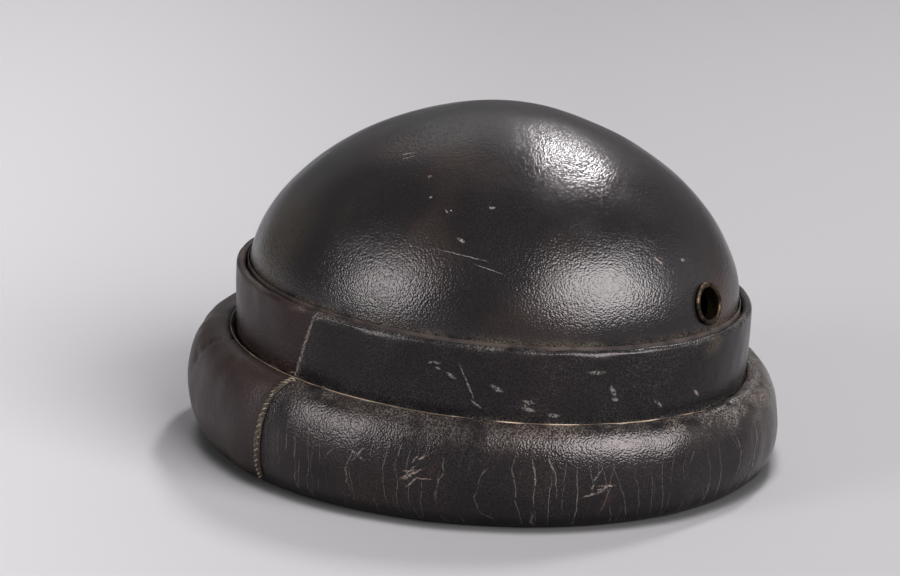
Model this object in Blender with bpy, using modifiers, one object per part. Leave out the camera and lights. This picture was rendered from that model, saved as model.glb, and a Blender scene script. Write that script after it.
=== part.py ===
"""Leather tanker helmet: a hard domed crown, a lapped leather band and a stuffed roll.

The helmet stands as it rests by itself on a table. Units are metres, +Z is up, the
front faces -Y and the origin is on the table under the middle of the whole helmet.

The pieces are laid out round the middle of the crown and hang on one empty. A bearing
runs round the helmet from the front (-Y) over the -X side to the rear. An offset is
measured outwards from the crown's side wall, and a height up from the table.
"""

import math

import bmesh
import bpy
from mathutils import Matrix, Vector

MM = 0.001

# Crown: a hard shell, its plan an ellipse, upright up to the rim and domed above it
CROWN_HALF_LENGTH = 117.0 * MM
CROWN_HALF_WIDTH = 97.5 * MM
CROWN_WALL = 3.0 * MM
RIM_HEIGHT = 78.5 * MM
DOME_HEIGHT = 80.0 * MM
DOME_ROUNDNESS = 1.784
PEAK_FORWARD = 6.5 * MM

# The crown and its band sag a little to one side on the soft roll
SAG_ANGLE = math.radians(2.9)
SAG_BEARING = math.radians(-22.0)
SAG_PIVOT_HEIGHT = 38.5 * MM

# Plies between the crown and the roll, from the inside out
PIECE_GAP = 0.3 * MM
PLY_WALL = 2.0 * MM
PLY_TOP_ABOVE_RIM = 0.6 * MM
PLY_FLARE = 0.5 * MM
BAND_WALL = 2.8 * MM
BAND_TOP_FLARE = 0.8 * MM
BAND_BULGE = 0.3 * MM
WELT_WALL = 1.4 * MM
WELT_ABOVE_GROOVE = 3.4 * MM
WELT_BEND_HEIGHT = 1.6 * MM
WELT_BEND_LEAN = 0.4 * MM
WELT_EDGE_LEAN = 2.0 * MM
WELT_EDGE_WALL = 0.9 * MM
PLY_FOOT_HEIGHT = 13.0 * MM

# Lap of the band's ends: the outer end lies over the skived inner end
LAP_BEARING = math.radians(101.0)
LAP_LENGTH = 36.0 * MM
LAP_TAPER_LENGTH = 22.0 * MM

# Roll: a stuffed leather tube, deeper at the rear, pressed flat where it rests
GROOVE_HEIGHT = 44.0 * MM
ROLL_CREST_ABOVE_GROOVE = 4.0 * MM
ROLL_DEPTH_FRONT = 21.6 * MM
ROLL_DEPTH_SIDE = 22.7 * MM
ROLL_DEPTH_REAR = 29.0 * MM
ROLL_ROUNDNESS = 2.11
ROLL_SHOULDER = 3.6 * MM
ROLL_PRESSED = 1.5 * MM

# Raised lap of the roll's cover, sewn down across it
SEAM_BEARING = math.radians(100.8)
SEAM_WIDTH = 3.8 * MM
SEAM_WALL = 1.2 * MM
SEAM_SLANT = math.radians(6.4)
SEAM_BOW = math.radians(0.8)
SEAM_BELOW_SHOULDER = math.radians(6.0)
SEAM_FOOT_TURN = math.radians(-52.0)

# Vent: a set eyelet on the centre line at the front
VENT_HEIGHT_SHARE = 0.15
VENT_BORE_RADIUS = 6.4 * MM
VENT_BARREL_WALL = 0.8 * MM
VENT_FLANGE_RADIUS = 9.4 * MM
VENT_FLANGE_THICKNESS = 1.1 * MM

# How finely the round forms are faceted
STATIONS = 64
DOME_RINGS = 11
SEAM_STEPS = 12
VENT_SIDES = 20

# Soft hollows in the roll: where round the helmet, how high, how wide and how deep.
# Height and rise are shares of the roll's height, depth is a share of its depth.
ROLL_HOLLOWS = (
    # bearing_deg, spread_deg, height, rise, depth
    (-24.0, 7.0, 0.80, 0.30, 0.045),
    (8.0, 9.0, 0.55, 0.40, 0.020),
    (52.0, 12.0, 0.50, 0.45, 0.025),
    (104.0, 5.0, 0.50, 0.60, 0.050),
    (128.0, 8.0, 0.70, 0.35, 0.020),
    (152.0, 5.0, 0.65, 0.50, 0.050),
    (205.0, 12.0, 0.50, 0.45, 0.025),
    (262.0, 10.0, 0.60, 0.40, 0.030),
)

# Offsets of the faces, worked out from the walls and the gaps between them
PLY_INNER = PIECE_GAP
PLY_OUTER = PLY_INNER + PLY_WALL
BAND_INNER = PLY_OUTER + PIECE_GAP
BAND_OUTER = BAND_INNER + BAND_WALL
WELT_INNER = BAND_OUTER + PIECE_GAP
WELT_OUTER = WELT_INNER + WELT_WALL
ROLL_INNER = WELT_OUTER + PIECE_GAP
SEAT_HEIGHT = PLY_FOOT_HEIGHT - PIECE_GAP

LEATHER_BLACK = (0.018, 0.016, 0.015, 1.0)
LEATHER_WORN = (0.030, 0.024, 0.020, 1.0)
LEATHER_CUT_EDGE = (0.190, 0.125, 0.070, 1.0)
BRASS = (0.420, 0.300, 0.160, 1.0)


def material(name, colour, roughness, metallic=0.0):
    """A plain Principled finish."""
    made = bpy.data.materials.new(name)
    made.use_nodes = True
    shader = made.node_tree.nodes["Principled BSDF"]
    shader.inputs["Base Color"].default_value = colour
    shader.inputs["Roughness"].default_value = roughness
    shader.inputs["Metallic"].default_value = metallic
    made.diffuse_color = colour
    return made


def collection(name):
    made = bpy.data.collections.new(name)
    bpy.context.scene.collection.children.link(made)
    return made


def signed_power(value, exponent):
    return math.copysign(abs(value) ** exponent, value)


def ease(share):
    """Smooth step from 0 to 1 as the share goes from 0 to 1."""
    share = min(max(share, 0.0), 1.0)
    return share * share * (3.0 - 2.0 * share)


def plan_point(bearing, offset):
    """Where a bearing meets the ellipse that lies this far outside the crown's wall."""
    along = Vector((-CROWN_HALF_WIDTH * math.cos(bearing), CROWN_HALF_LENGTH * math.sin(bearing)))
    outward = Vector((-along.y, along.x)).normalized()
    wall = Vector((-CROWN_HALF_WIDTH * math.sin(bearing), -CROWN_HALF_LENGTH * math.cos(bearing)))
    return wall + offset * outward


def sagged(point):
    """The point after the crown has sagged on the roll. Nothing moves at the table."""
    share = min(1.0, point.z / GROOVE_HEIGHT)
    towards = Vector((-math.sin(SAG_BEARING), -math.cos(SAG_BEARING), 0.0))
    along = point.dot(towards)
    above = point.z - SAG_PIVOT_HEIGHT
    forward = along * (math.cos(SAG_ANGLE) - 1.0) + above * math.sin(SAG_ANGLE)
    lift = above * (math.cos(SAG_ANGLE) - 1.0) - along * math.sin(SAG_ANGLE)
    return point + share * (forward * towards + Vector((0.0, 0.0, lift)))


def place(bearing, offset, height):
    """World point of a bearing, an offset from the crown's wall and a height."""
    flat = plan_point(bearing, offset)
    return sagged(Vector((flat.x, flat.y, height)))


def dome_point(bearing, climb):
    """World point of the dome's outer face. The climb runs from 0 at the rim to a quarter turn."""
    inward = math.cos(climb) ** (2.0 / DOME_ROUNDNESS) if climb < math.pi / 2 else 0.0
    rise = math.sin(climb) ** (2.0 / DOME_ROUNDNESS)
    flat = plan_point(bearing, 0.0) * inward
    return sagged(Vector((flat.x, flat.y - PEAK_FORWARD * rise, RIM_HEIGHT + DOME_HEIGHT * rise)))


def station_bearings():
    return [math.tau * index / STATIONS for index in range(STATIONS)]


def mesh_object(name, bm, finish, parts):
    """Turns a bmesh into a smooth-shaded object with its normals facing out."""
    bmesh.ops.recalc_face_normals(bm, faces=bm.faces)
    mesh = bpy.data.meshes.new(name)
    bm.to_mesh(mesh)
    bm.free()
    mesh.materials.append(finish)
    mesh.shade_smooth()
    mesh.set_sharp_from_angle(angle=math.radians(40.0))
    made = bpy.data.objects.new(name, mesh)
    parts.objects.link(made)
    return made


def loft(name, sections, closed, finish, parts):
    """A solid skinned over closed sections of like point counts, ended with caps if open."""
    bm = bmesh.new()
    rings = [[bm.verts.new(point) for point in section] for section in sections]
    pairs = list(zip(rings, rings[1:]))
    if closed:
        pairs.append((rings[-1], rings[0]))
    for here, there in pairs:
        for index, corner in enumerate(here):
            before = index - 1
            bm.faces.new((here[before], corner, there[index], there[before]))
    if not closed:
        for cap in (rings[0], rings[-1]):
            bm.faces.new(cap)
    return mesh_object(name, bm, finish, parts)


def crown_shell():
    """Open outer face of the crown: half a sphere shaped to the dome, with its wall drawn down."""
    bm = bmesh.new()
    bmesh.ops.create_uvsphere(bm, u_segments=STATIONS, v_segments=2 * DOME_RINGS, radius=1.0)
    below = [vert for vert in bm.verts if vert.co.z < -0.5 / DOME_RINGS]
    bmesh.ops.delete(bm, geom=below, context="VERTS")
    for vert in bm.verts:
        climb = math.asin(min(1.0, max(0.0, vert.co.z)))
        bearing = math.atan2(-vert.co.x, -vert.co.y)
        vert.co = dome_point(bearing, climb)
    for height in (GROOVE_HEIGHT, PLY_FOOT_HEIGHT):
        edges = [edge for edge in bm.edges if edge.is_boundary]
        drawn = bmesh.ops.extrude_edge_only(bm, edges=edges)
        for item in drawn["geom"]:
            if not isinstance(item, bmesh.types.BMVert):
                continue
            bearing = wall_bearing(item.co)
            item.co = place(bearing, 0.0, height)
    return bm


def wall_bearing(point):
    """The station bearing nearest to a point of the crown's side wall."""
    return min(station_bearings(), key=lambda bearing: distance_in_plan(point, bearing))


def distance_in_plan(point, bearing):
    flat = plan_point(bearing, 0.0)
    return (point.x - flat.x) ** 2 + (point.y - flat.y) ** 2


def vent_climb():
    return math.asin(VENT_HEIGHT_SHARE ** (DOME_ROUNDNESS / 2.0))


def vent_frame():
    """Matrix at the vent: its origin on the dome's outer face and its +Z along the normal."""
    climb = vent_climb()
    step = 0.01
    middle = dome_point(0.0, climb)
    around = dome_point(step, climb) - dome_point(-step, climb)
    upward = dome_point(0.0, climb + step) - dome_point(0.0, climb - step)
    normal = upward.cross(around).normalized()
    if normal.y > 0.0:
        normal.negate()
    turn = normal.to_track_quat("Z", "Y").to_matrix().to_4x4()
    return Matrix.Translation(middle) @ turn


def vent_dip():
    """How far the dome's outer face falls away from the vent's plane under its flange."""
    from_world = vent_frame().inverted()
    steps = range(-12, 13)
    near = [
        from_world @ dome_point(0.02 * around, max(0.0, vent_climb() + 0.02 * upward))
        for around in steps
        for upward in steps
    ]
    return max(-point.z for point in near if point.xy.length < 1.15 * VENT_FLANGE_RADIUS)


def make_crown(finish, parts, cutters):
    """The hard shell, three millimetres thick, open below and bored for the vent."""
    crown = mesh_object("crown", crown_shell(), finish, parts)
    wall = crown.modifiers.new("wall", "SOLIDIFY")
    wall.thickness = CROWN_WALL
    wall.offset = -1.0
    wall.use_even_offset = True

    bm = bmesh.new()
    bmesh.ops.create_cone(
        bm,
        cap_ends=True,
        segments=VENT_SIDES,
        radius1=VENT_BORE_RADIUS + VENT_BARREL_WALL + PIECE_GAP,
        radius2=VENT_BORE_RADIUS + VENT_BARREL_WALL + PIECE_GAP,
        depth=8.0 * CROWN_WALL,
    )
    cutter = mesh_object("vent_cutter", bm, finish, cutters)
    cutter.matrix_world = vent_frame()
    cutter.hide_render = True
    cutter.display_type = "WIRE"
    bore = crown.modifiers.new("vent_bore", "BOOLEAN")
    bore.operation = "DIFFERENCE"
    bore.object = cutter
    return crown


def flared(offset, height, flare):
    """An offset that leans outwards by the flare between the groove and the rim."""
    return offset + flare * ease((height - GROOVE_HEIGHT) / (RIM_HEIGHT - GROOVE_HEIGHT))


def make_inner_ply(finish, parts):
    """Thin ply behind the band, its edge just proud of the band's top."""
    top = RIM_HEIGHT + PLY_TOP_ABOVE_RIM
    outline = (
        (PLY_INNER, PLY_FOOT_HEIGHT),
        (PLY_OUTER, PLY_FOOT_HEIGHT),
        (PLY_OUTER, GROOVE_HEIGHT),
        (flared(PLY_OUTER, top, PLY_FLARE), top),
        (flared(PLY_INNER, top, PLY_FLARE), top),
        (PLY_INNER, GROOVE_HEIGHT),
    )
    sections = [
        [place(bearing, offset, height) for offset, height in outline]
        for bearing in station_bearings()
    ]
    return loft("band_inner_ply", sections, True, finish, parts)


def band_section(bearing, inner, outer):
    """Section of the band between two offsets: a round top edge above a slightly full face."""
    middle = 0.5 * (GROOVE_HEIGHT + RIM_HEIGHT)
    edge = 0.5 * (outer - inner)
    shoulder = RIM_HEIGHT - edge
    outline = [
        (inner, PLY_FOOT_HEIGHT),
        (outer, PLY_FOOT_HEIGHT),
        (outer, GROOVE_HEIGHT),
        (flared(outer, middle, BAND_TOP_FLARE) + BAND_BULGE, middle),
    ]
    centre = flared(inner + edge, RIM_HEIGHT, BAND_TOP_FLARE)
    for turn in (0.0, 45.0, 90.0, 135.0, 180.0):
        angle = math.radians(turn)
        outline.append((centre + edge * math.cos(angle), shoulder + edge * math.sin(angle)))
    outline.append((flared(inner, middle, BAND_TOP_FLARE), middle))
    outline.append((inner, GROOVE_HEIGHT))
    return [place(bearing, offset, height) for offset, height in outline]


def bearing_span(length):
    """Bearing taken up by a length along the band at the lap."""
    around = Vector((CROWN_HALF_WIDTH * math.cos(LAP_BEARING), CROWN_HALF_LENGTH * math.sin(LAP_BEARING)))
    return length / around.length


def make_band(finish, parts):
    """The leather strip, once round the helmet, its skived ends lapped on each other."""
    lap = bearing_span(LAP_LENGTH)
    taper = bearing_span(LAP_TAPER_LENGTH)
    half_wall = 0.5 * (BAND_WALL - PIECE_GAP)
    start = LAP_BEARING
    end = start - math.tau - lap
    steps = math.ceil((start - end) * STATIONS / math.tau)
    sections = []
    for index in range(steps + 1):
        bearing = start + (end - start) * index / steps
        from_start = ease((start - lap - bearing) / taper)
        to_finish = ease((bearing - (start - math.tau)) / taper)
        inner = BAND_INNER + (1.0 - from_start) * (half_wall + PIECE_GAP)
        outer = BAND_OUTER - (1.0 - to_finish) * (half_wall + PIECE_GAP)
        sections.append(band_section(bearing, inner, outer))
    return loft("band", sections, False, finish, parts)


def make_edge_welt(finish, parts):
    """Cut edge of the roll's cover, which stands behind the band and leans on the roll's shoulder."""
    bend = GROOVE_HEIGHT + WELT_BEND_HEIGHT
    top = GROOVE_HEIGHT + WELT_ABOVE_GROOVE
    outline = (
        (WELT_INNER, PLY_FOOT_HEIGHT),
        (WELT_OUTER, PLY_FOOT_HEIGHT),
        (WELT_OUTER, GROOVE_HEIGHT),
        (WELT_OUTER + WELT_BEND_LEAN, bend),
        (WELT_INNER + WELT_EDGE_LEAN + WELT_EDGE_WALL, top),
        (WELT_INNER + WELT_EDGE_LEAN, top),
        (WELT_INNER, GROOVE_HEIGHT),
    )
    sections = [
        [place(bearing, offset, height) for offset, height in outline]
        for bearing in station_bearings()
    ]
    return loft("edge_welt", sections, True, finish, parts)


def roll_depth(bearing):
    """How far the roll stands out from the crown's wall at a bearing."""
    ends = 0.5 * (ROLL_DEPTH_FRONT + ROLL_DEPTH_REAR)
    mean = 0.5 * (ends + ROLL_DEPTH_SIDE)
    swing = 0.5 * (ends - ROLL_DEPTH_SIDE)
    lopsided = 0.5 * (ROLL_DEPTH_FRONT - ROLL_DEPTH_REAR)
    return mean + lopsided * math.cos(bearing) + swing * math.cos(2.0 * bearing)


def hollow_depth(bearing, height_share):
    """How deep the soft hollows press the roll's face in, as a share of its depth."""
    pressed = 0.0
    for bearing_deg, spread_deg, height, rise, depth in ROLL_HOLLOWS:
        apart = math.degrees(bearing) - bearing_deg
        apart = (apart + 180.0) % 360.0 - 180.0
        across = (height_share - height) / rise
        pressed += depth * math.exp(-((apart / spread_deg) ** 2) - across * across)
    return pressed


def roll_face(bearing, turn):
    """Offset and height on the roll's round face. The turn is 90 at the crest and -90 below."""
    outer = roll_depth(bearing)
    half_depth = 0.5 * (outer + CROWN_WALL)
    middle = outer - half_depth
    crest = GROOVE_HEIGHT + ROLL_CREST_ABOVE_GROOVE
    half_height = 0.5 * (crest + ROLL_PRESSED)
    out = signed_power(math.cos(turn), 2.0 / ROLL_ROUNDNESS)
    rise = signed_power(math.sin(turn), 2.0 / ROLL_ROUNDNESS)
    height = max(0.0, half_height * (1.0 + rise) - ROLL_PRESSED)
    pressed = hollow_depth(bearing, height / crest) * max(0.0, out)
    return middle + half_depth * out - pressed * outer, height


def shoulder_turn(bearing):
    """The turn on the roll's round face where its shoulder starts to fall to the groove."""
    outer = roll_depth(bearing)
    half_depth = 0.5 * (outer + CROWN_WALL)
    out = (ROLL_INNER + ROLL_SHOULDER - (outer - half_depth)) / half_depth
    return math.acos(signed_power(out, ROLL_ROUNDNESS / 2.0))


def lip_turn():
    """The turn on the roll's round face where its inner lip ends, below the plies' seat."""
    crest = GROOVE_HEIGHT + ROLL_CREST_ABOVE_GROOVE
    half_height = 0.5 * (crest + ROLL_PRESSED)
    rise = (0.6 * SEAT_HEIGHT + ROLL_PRESSED) / half_height - 1.0
    return -math.pi + math.asin(abs(rise) ** (ROLL_ROUNDNESS / 2.0))


def roll_section(bearing):
    """Section of the roll: groove, round face, flat foot, inner lip and the plies' seat."""
    start = shoulder_turn(bearing)
    end = lip_turn()
    shoulder_offset, shoulder_height = roll_face(bearing, start)
    drop = shoulder_height - GROOVE_HEIGHT
    outline = []
    for share in (0.0, 0.12, 0.45):
        offset = ROLL_INNER + share * (shoulder_offset - ROLL_INNER)
        outline.append((offset, shoulder_height - drop * (1.0 - math.sqrt(1.0 - (1.0 - share) ** 2))))
    steps = 15
    for index in range(steps + 1):
        outline.append(roll_face(bearing, start + (end - start) * index / steps))
    outline.append((-CROWN_WALL, SEAT_HEIGHT))
    outline.append((ROLL_INNER, SEAT_HEIGHT))
    return [place(bearing, offset, height) for offset, height in outline]


def make_roll(finish, parts):
    """The stuffed roll, which carries the crown and the plies on its inner seat."""
    sections = [roll_section(bearing) for bearing in station_bearings()]
    return loft("roll", sections, True, finish, parts)


def make_roll_seam(finish, parts):
    """Raised lap across the roll, from the groove down to just above the table."""
    half = 0.5 * SEAM_WIDTH / CROWN_HALF_LENGTH
    top = shoulder_turn(SEAM_BEARING) - SEAM_BELOW_SHOULDER
    sections = []
    for index in range(SEAM_STEPS + 1):
        share = index / SEAM_STEPS
        turn = top + (SEAM_FOOT_TURN - top) * share
        middle = SEAM_BEARING + SEAM_SLANT * share + SEAM_BOW * math.sin(math.pi * share)
        section = []
        for side, lift in ((-1.0, PIECE_GAP), (-0.6, SEAM_WALL), (0.6, SEAM_WALL), (1.0, PIECE_GAP)):
            section.append(lifted(middle + side * half, turn, PIECE_GAP + lift))
        section.append(lifted(middle + half, turn, PIECE_GAP))
        section.append(lifted(middle - half, turn, PIECE_GAP))
        sections.append(section)
    return loft("roll_seam", sections, False, finish, parts)


def lifted(bearing, turn, lift):
    """World point this far above the roll's round face."""
    offset, height = roll_face(bearing, turn)
    step = 0.02
    before = Vector(roll_face(bearing, turn - step))
    after = Vector(roll_face(bearing, turn + step))
    along = (after - before).normalized()
    return place(bearing, offset + lift * along.y, height - lift * along.x)


def make_vent_eyelet(finish, parts):
    """A turned eyelet with a flange on each side of the crown's wall."""
    barrel = VENT_BORE_RADIUS + VENT_BARREL_WALL
    seat = PIECE_GAP
    back = -(CROWN_WALL + vent_dip() + 2.0 * PIECE_GAP)
    outline = (
        (VENT_BORE_RADIUS, seat + 0.5 * VENT_FLANGE_THICKNESS),
        (VENT_BORE_RADIUS + 0.4 * VENT_BARREL_WALL, seat + VENT_FLANGE_THICKNESS),
        (0.5 * (barrel + VENT_FLANGE_RADIUS), seat + VENT_FLANGE_THICKNESS),
        (VENT_FLANGE_RADIUS, seat + 0.4 * VENT_FLANGE_THICKNESS),
        (VENT_FLANGE_RADIUS, seat),
        (barrel, seat),
        (barrel, back),
        (VENT_FLANGE_RADIUS, back),
        (VENT_FLANGE_RADIUS, back - 0.7 * VENT_FLANGE_THICKNESS),
        (VENT_BORE_RADIUS, back - 0.7 * VENT_FLANGE_THICKNESS),
    )
    bm = bmesh.new()
    corners = [bm.verts.new((radius, 0.0, height)) for radius, height in outline]
    for index, corner in enumerate(corners):
        bm.edges.new((corners[index - 1], corner))
    mesh = bpy.data.meshes.new("vent_eyelet")
    bm.to_mesh(mesh)
    bm.free()
    mesh.materials.append(finish)
    eyelet = bpy.data.objects.new("vent_eyelet", mesh)
    parts.objects.link(eyelet)
    turning = eyelet.modifiers.new("turning", "SCREW")
    turning.axis = "Z"
    turning.angle = math.tau
    turning.steps = VENT_SIDES
    turning.render_steps = VENT_SIDES
    turning.use_merge_vertices = True
    turning.merge_threshold = 0.00001
    turning.use_normal_calculate = True
    turning.use_normal_flip = True
    eyelet.matrix_world = vent_frame()
    return eyelet


def centre_on_table(parts, cutters):
    """Hangs every piece on an empty that puts the middle of the roll's outline at the origin."""
    outline = [vert.co for vert in parts.objects["roll"].data.vertices]
    lowest = [min(point[axis] for point in outline) for axis in (0, 1)]
    highest = [max(point[axis] for point in outline) for axis in (0, 1)]
    pieces = list(parts.objects) + list(cutters.objects)
    table_centre = bpy.data.objects.new("table_centre", None)
    table_centre.location = (-0.5 * (lowest[0] + highest[0]), -0.5 * (lowest[1] + highest[1]), 0.0)
    parts.objects.link(table_centre)
    for piece in pieces:
        piece.parent = table_centre


def main():
    for old in list(bpy.data.objects):
        bpy.data.objects.remove(old, do_unlink=True)

    parts = collection("leather_tanker_helmet")
    cutters = collection("cutters")

    black = material("black_crown_leather", LEATHER_BLACK, 0.40)
    band_black = material("black_band_leather", LEATHER_BLACK, 0.34)
    worn = material("worn_roll_leather", LEATHER_WORN, 0.48)
    cut_edge = material("cut_edge_leather", LEATHER_CUT_EDGE, 0.75)
    brass = material("worn_brass", BRASS, 0.40, metallic=1.0)

    make_crown(black, parts, cutters)
    make_inner_ply(cut_edge, parts)
    make_band(band_black, parts)
    make_edge_welt(cut_edge, parts)
    make_roll(worn, parts)
    make_roll_seam(worn, parts)
    make_vent_eyelet(brass, parts)
    centre_on_table(parts, cutters)


main()
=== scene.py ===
"""Leather tanker helmet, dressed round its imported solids.

Seven leather and brass pieces are modelled again over the solids that they stand for,
fine enough to carry folds, stitches and worn edges, and a row of thread is added on the
roll's seam. Lengths are in metres. A bearing runs round the helmet from the front (-Y)
over the -X side to the rear, an offset goes outwards from the crown's side wall, and a
height goes up from the table.
"""

import logging
import math
from collections.abc import Callable
from dataclasses import dataclass, replace
from enum import Enum

import bpy
import numpy as np
from bpy.types import Material, NodeSocket, NodeTree, Object
from mathutils import Matrix, Vector


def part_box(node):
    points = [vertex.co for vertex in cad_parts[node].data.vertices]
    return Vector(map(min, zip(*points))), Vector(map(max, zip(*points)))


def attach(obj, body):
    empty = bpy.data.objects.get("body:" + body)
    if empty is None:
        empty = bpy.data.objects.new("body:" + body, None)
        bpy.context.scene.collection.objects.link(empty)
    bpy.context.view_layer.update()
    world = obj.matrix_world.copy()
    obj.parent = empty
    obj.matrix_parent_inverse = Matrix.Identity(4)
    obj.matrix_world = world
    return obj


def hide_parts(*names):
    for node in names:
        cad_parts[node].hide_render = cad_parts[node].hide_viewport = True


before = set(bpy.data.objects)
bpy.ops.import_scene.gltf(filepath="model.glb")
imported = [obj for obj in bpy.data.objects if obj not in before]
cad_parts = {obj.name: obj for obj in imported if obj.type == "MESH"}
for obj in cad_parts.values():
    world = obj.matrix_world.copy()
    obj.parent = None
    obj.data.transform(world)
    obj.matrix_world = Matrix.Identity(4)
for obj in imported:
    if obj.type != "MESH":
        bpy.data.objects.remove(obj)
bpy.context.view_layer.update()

MM = 0.001
NEAR = 0.002  # radians on either side of a mark between which its surface's slope is read
SCUFF_MM = 1.9  # width from which a pale or raw mark is drawn as separate scratches
LOG = logging.getLogger("helmet")


class Slot(Enum):
    """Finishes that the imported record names."""

    CROWN = "crown_leather"
    PLY = "inner_ply_leather"
    BAND = "band_leather"
    EDGE = "cut_edge_leather"
    ROLL = "roll_leather"
    SEAM = "seam_leather"
    BRASS = "eyelet_brass"


class Tone(Enum):
    """What a mark in the leather lays bare or leaves behind."""

    RAW = "raw tan leather under the dye"
    RUST = "reddish dye rubbed thin"
    PALE = "pale dust held in a nick"
    DARK = "blacking built up in a patch"
    OLIVE = "brown undertone under worn wax"


@dataclass(frozen=True)
class Mark:
    """One nick, scratch, scuff or patch: an oval on the surface.

    The climb is an angle up the dome or round the roll's face, and on the band it is a
    height in millimetres.
    """

    bearing: float
    climb: float
    length: float
    width: float
    tilt: float
    tone: Tone


def ease(share: np.ndarray) -> np.ndarray:
    """Smooth step from 0 to 1 as the share goes from 0 to 1."""
    share = np.clip(share, 0.0, 1.0)
    return share * share * (3.0 - 2.0 * share)


def signed_power(value: np.ndarray, exponent: float) -> np.ndarray:
    """Power that keeps the value's sign."""
    return np.sign(value) * np.abs(value) ** exponent


def apart_deg(bearing: np.ndarray, centre_deg: float) -> np.ndarray:
    """Degrees from a centre bearing, from -180 to 180."""
    return (np.degrees(bearing) - centre_deg + 180.0) % 360.0 - 180.0


def undulation(bearing: np.ndarray, across: np.ndarray, waves: int, rise: float, seed: int) -> np.ndarray:
    """Irregular waves that close round the helmet, from about -1 to 1.

    Args:
        bearing: Bearings in radians.
        across: Second coordinate in radians or metres, in step with rise.
        waves: Most waves once round.
        rise: Most turns of phase for each unit of the second coordinate.
        seed: Start of the random draws.

    Returns:
        The height of the waves at each place.
    """
    draw = np.random.default_rng(seed)
    total = 0.0
    for _ in range(9):
        count = draw.integers(max(1, waves // 3), waves + 1)
        slope = draw.uniform(-rise, rise)
        total = total + np.sin(count * bearing + slope * across + draw.uniform(0.0, math.tau))
    return total / 4.2


@dataclass(frozen=True)
class HelmetForm:
    """The round forms that the pieces share, as formulas of bearing, offset and height."""

    half_length: float = 117.0 * MM
    half_width: float = 97.5 * MM
    wall: float = 3.0 * MM
    rim: float = 78.5 * MM
    dome: float = 80.0 * MM
    roundness: float = 1.784
    peak_forward: float = 6.5 * MM
    sag: float = math.radians(2.9)
    sag_bearing: float = math.radians(-22.0)
    sag_pivot: float = 38.5 * MM
    groove: float = 44.0 * MM
    gap: float = 0.3 * MM
    foot: float = 13.0 * MM
    centre: tuple[float, float] = (0.0, 0.0)

    def on_frame(self) -> "HelmetForm":
        """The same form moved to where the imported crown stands."""
        bearing = np.linspace(0.0, math.tau, 64, endpoint=False)
        wall = np.concatenate([self.place(bearing, 0.0, self.foot), self.place(bearing, 0.0, self.rim)])
        middle = 0.5 * (wall.min(axis=0) + wall.max(axis=0))
        low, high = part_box("crown")
        shift = 0.5 * (np.array(low) + np.array(high)) - middle
        return replace(self, centre=(float(shift[0]), float(shift[1])))

    def plan(self, bearing: np.ndarray, offset: np.ndarray) -> tuple[np.ndarray, np.ndarray]:
        """Plan position of a bearing on the oval that lies this far outside the crown's wall."""
        along_x = -self.half_width * np.cos(bearing)
        along_y = self.half_length * np.sin(bearing)
        length = np.hypot(along_x, along_y)
        x = -self.half_width * np.sin(bearing) - offset * along_y / length
        y = -self.half_length * np.cos(bearing) + offset * along_x / length
        return x, y

    def settled(self, x: np.ndarray, y: np.ndarray, z: np.ndarray) -> np.ndarray:
        """World points after the crown has sagged on the roll. Nothing moves at the table."""
        share = np.minimum(1.0, z / self.groove)
        to_x, to_y = -math.sin(self.sag_bearing), -math.cos(self.sag_bearing)
        along = x * to_x + y * to_y
        above = z - self.sag_pivot
        forward = share * (along * (math.cos(self.sag) - 1.0) + above * math.sin(self.sag))
        lift = share * (above * (math.cos(self.sag) - 1.0) - along * math.sin(self.sag))
        moved = (x + forward * to_x + self.centre[0], y + forward * to_y + self.centre[1], z + lift)
        return np.stack(np.broadcast_arrays(*moved), axis=-1)

    def place(self, bearing: np.ndarray, offset: np.ndarray, height: np.ndarray) -> np.ndarray:
        """World points of bearings, offsets from the crown's wall and heights."""
        x, y = self.plan(bearing, offset)
        return self.settled(x, y, np.asarray(height, float) + 0.0 * x)

    def dome_point(self, bearing: np.ndarray, climb: np.ndarray) -> np.ndarray:
        """World points of the dome's outer face, from 0 at the rim to a quarter turn."""
        inward = np.maximum(0.0, np.cos(climb)) ** (2.0 / self.roundness)
        rise = np.maximum(0.0, np.sin(climb)) ** (2.0 / self.roundness)
        x, y = self.plan(bearing, 0.0)
        return self.settled(x * inward, y * inward - self.peak_forward * rise, self.rim + self.dome * rise)


def only(piece: Object) -> None:
    """Selects one piece and nothing else."""
    bpy.ops.object.select_all(action="DESELECT")
    piece.select_set(True)
    bpy.context.view_layer.objects.active = piece


def read_points(piece: Object) -> np.ndarray:
    """A piece's vertices as rows of x, y and z."""
    flat = np.empty(3 * len(piece.data.vertices), np.float32)
    piece.data.vertices.foreach_get("co", flat)
    return flat.reshape(-1, 3).astype(float)


def write_points(piece: Object, points: np.ndarray) -> None:
    """Moves a piece's vertices to these rows of x, y and z."""
    piece.data.vertices.foreach_set("co", points.astype(np.float32).ravel())
    piece.data.update()


def paint(piece: Object, layer: str, values: np.ndarray) -> None:
    """Keeps a number from 0 to 1 for each vertex, for the piece's finish to read."""
    stored = piece.data.attributes.new(layer, "FLOAT", "POINT")
    stored.data.foreach_set("value", np.clip(values, 0.0, 1.0).astype(np.float32).ravel())


def apply_modifier(piece: Object, kind: str, **settings: object) -> None:
    """Adds a modifier with its settings and applies it."""
    only(piece)
    modifier = piece.modifiers.new(kind.lower(), kind)
    for setting, value in settings.items():
        setattr(modifier, setting, value)
    bpy.ops.object.modifier_apply(modifier=modifier.name)


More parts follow.
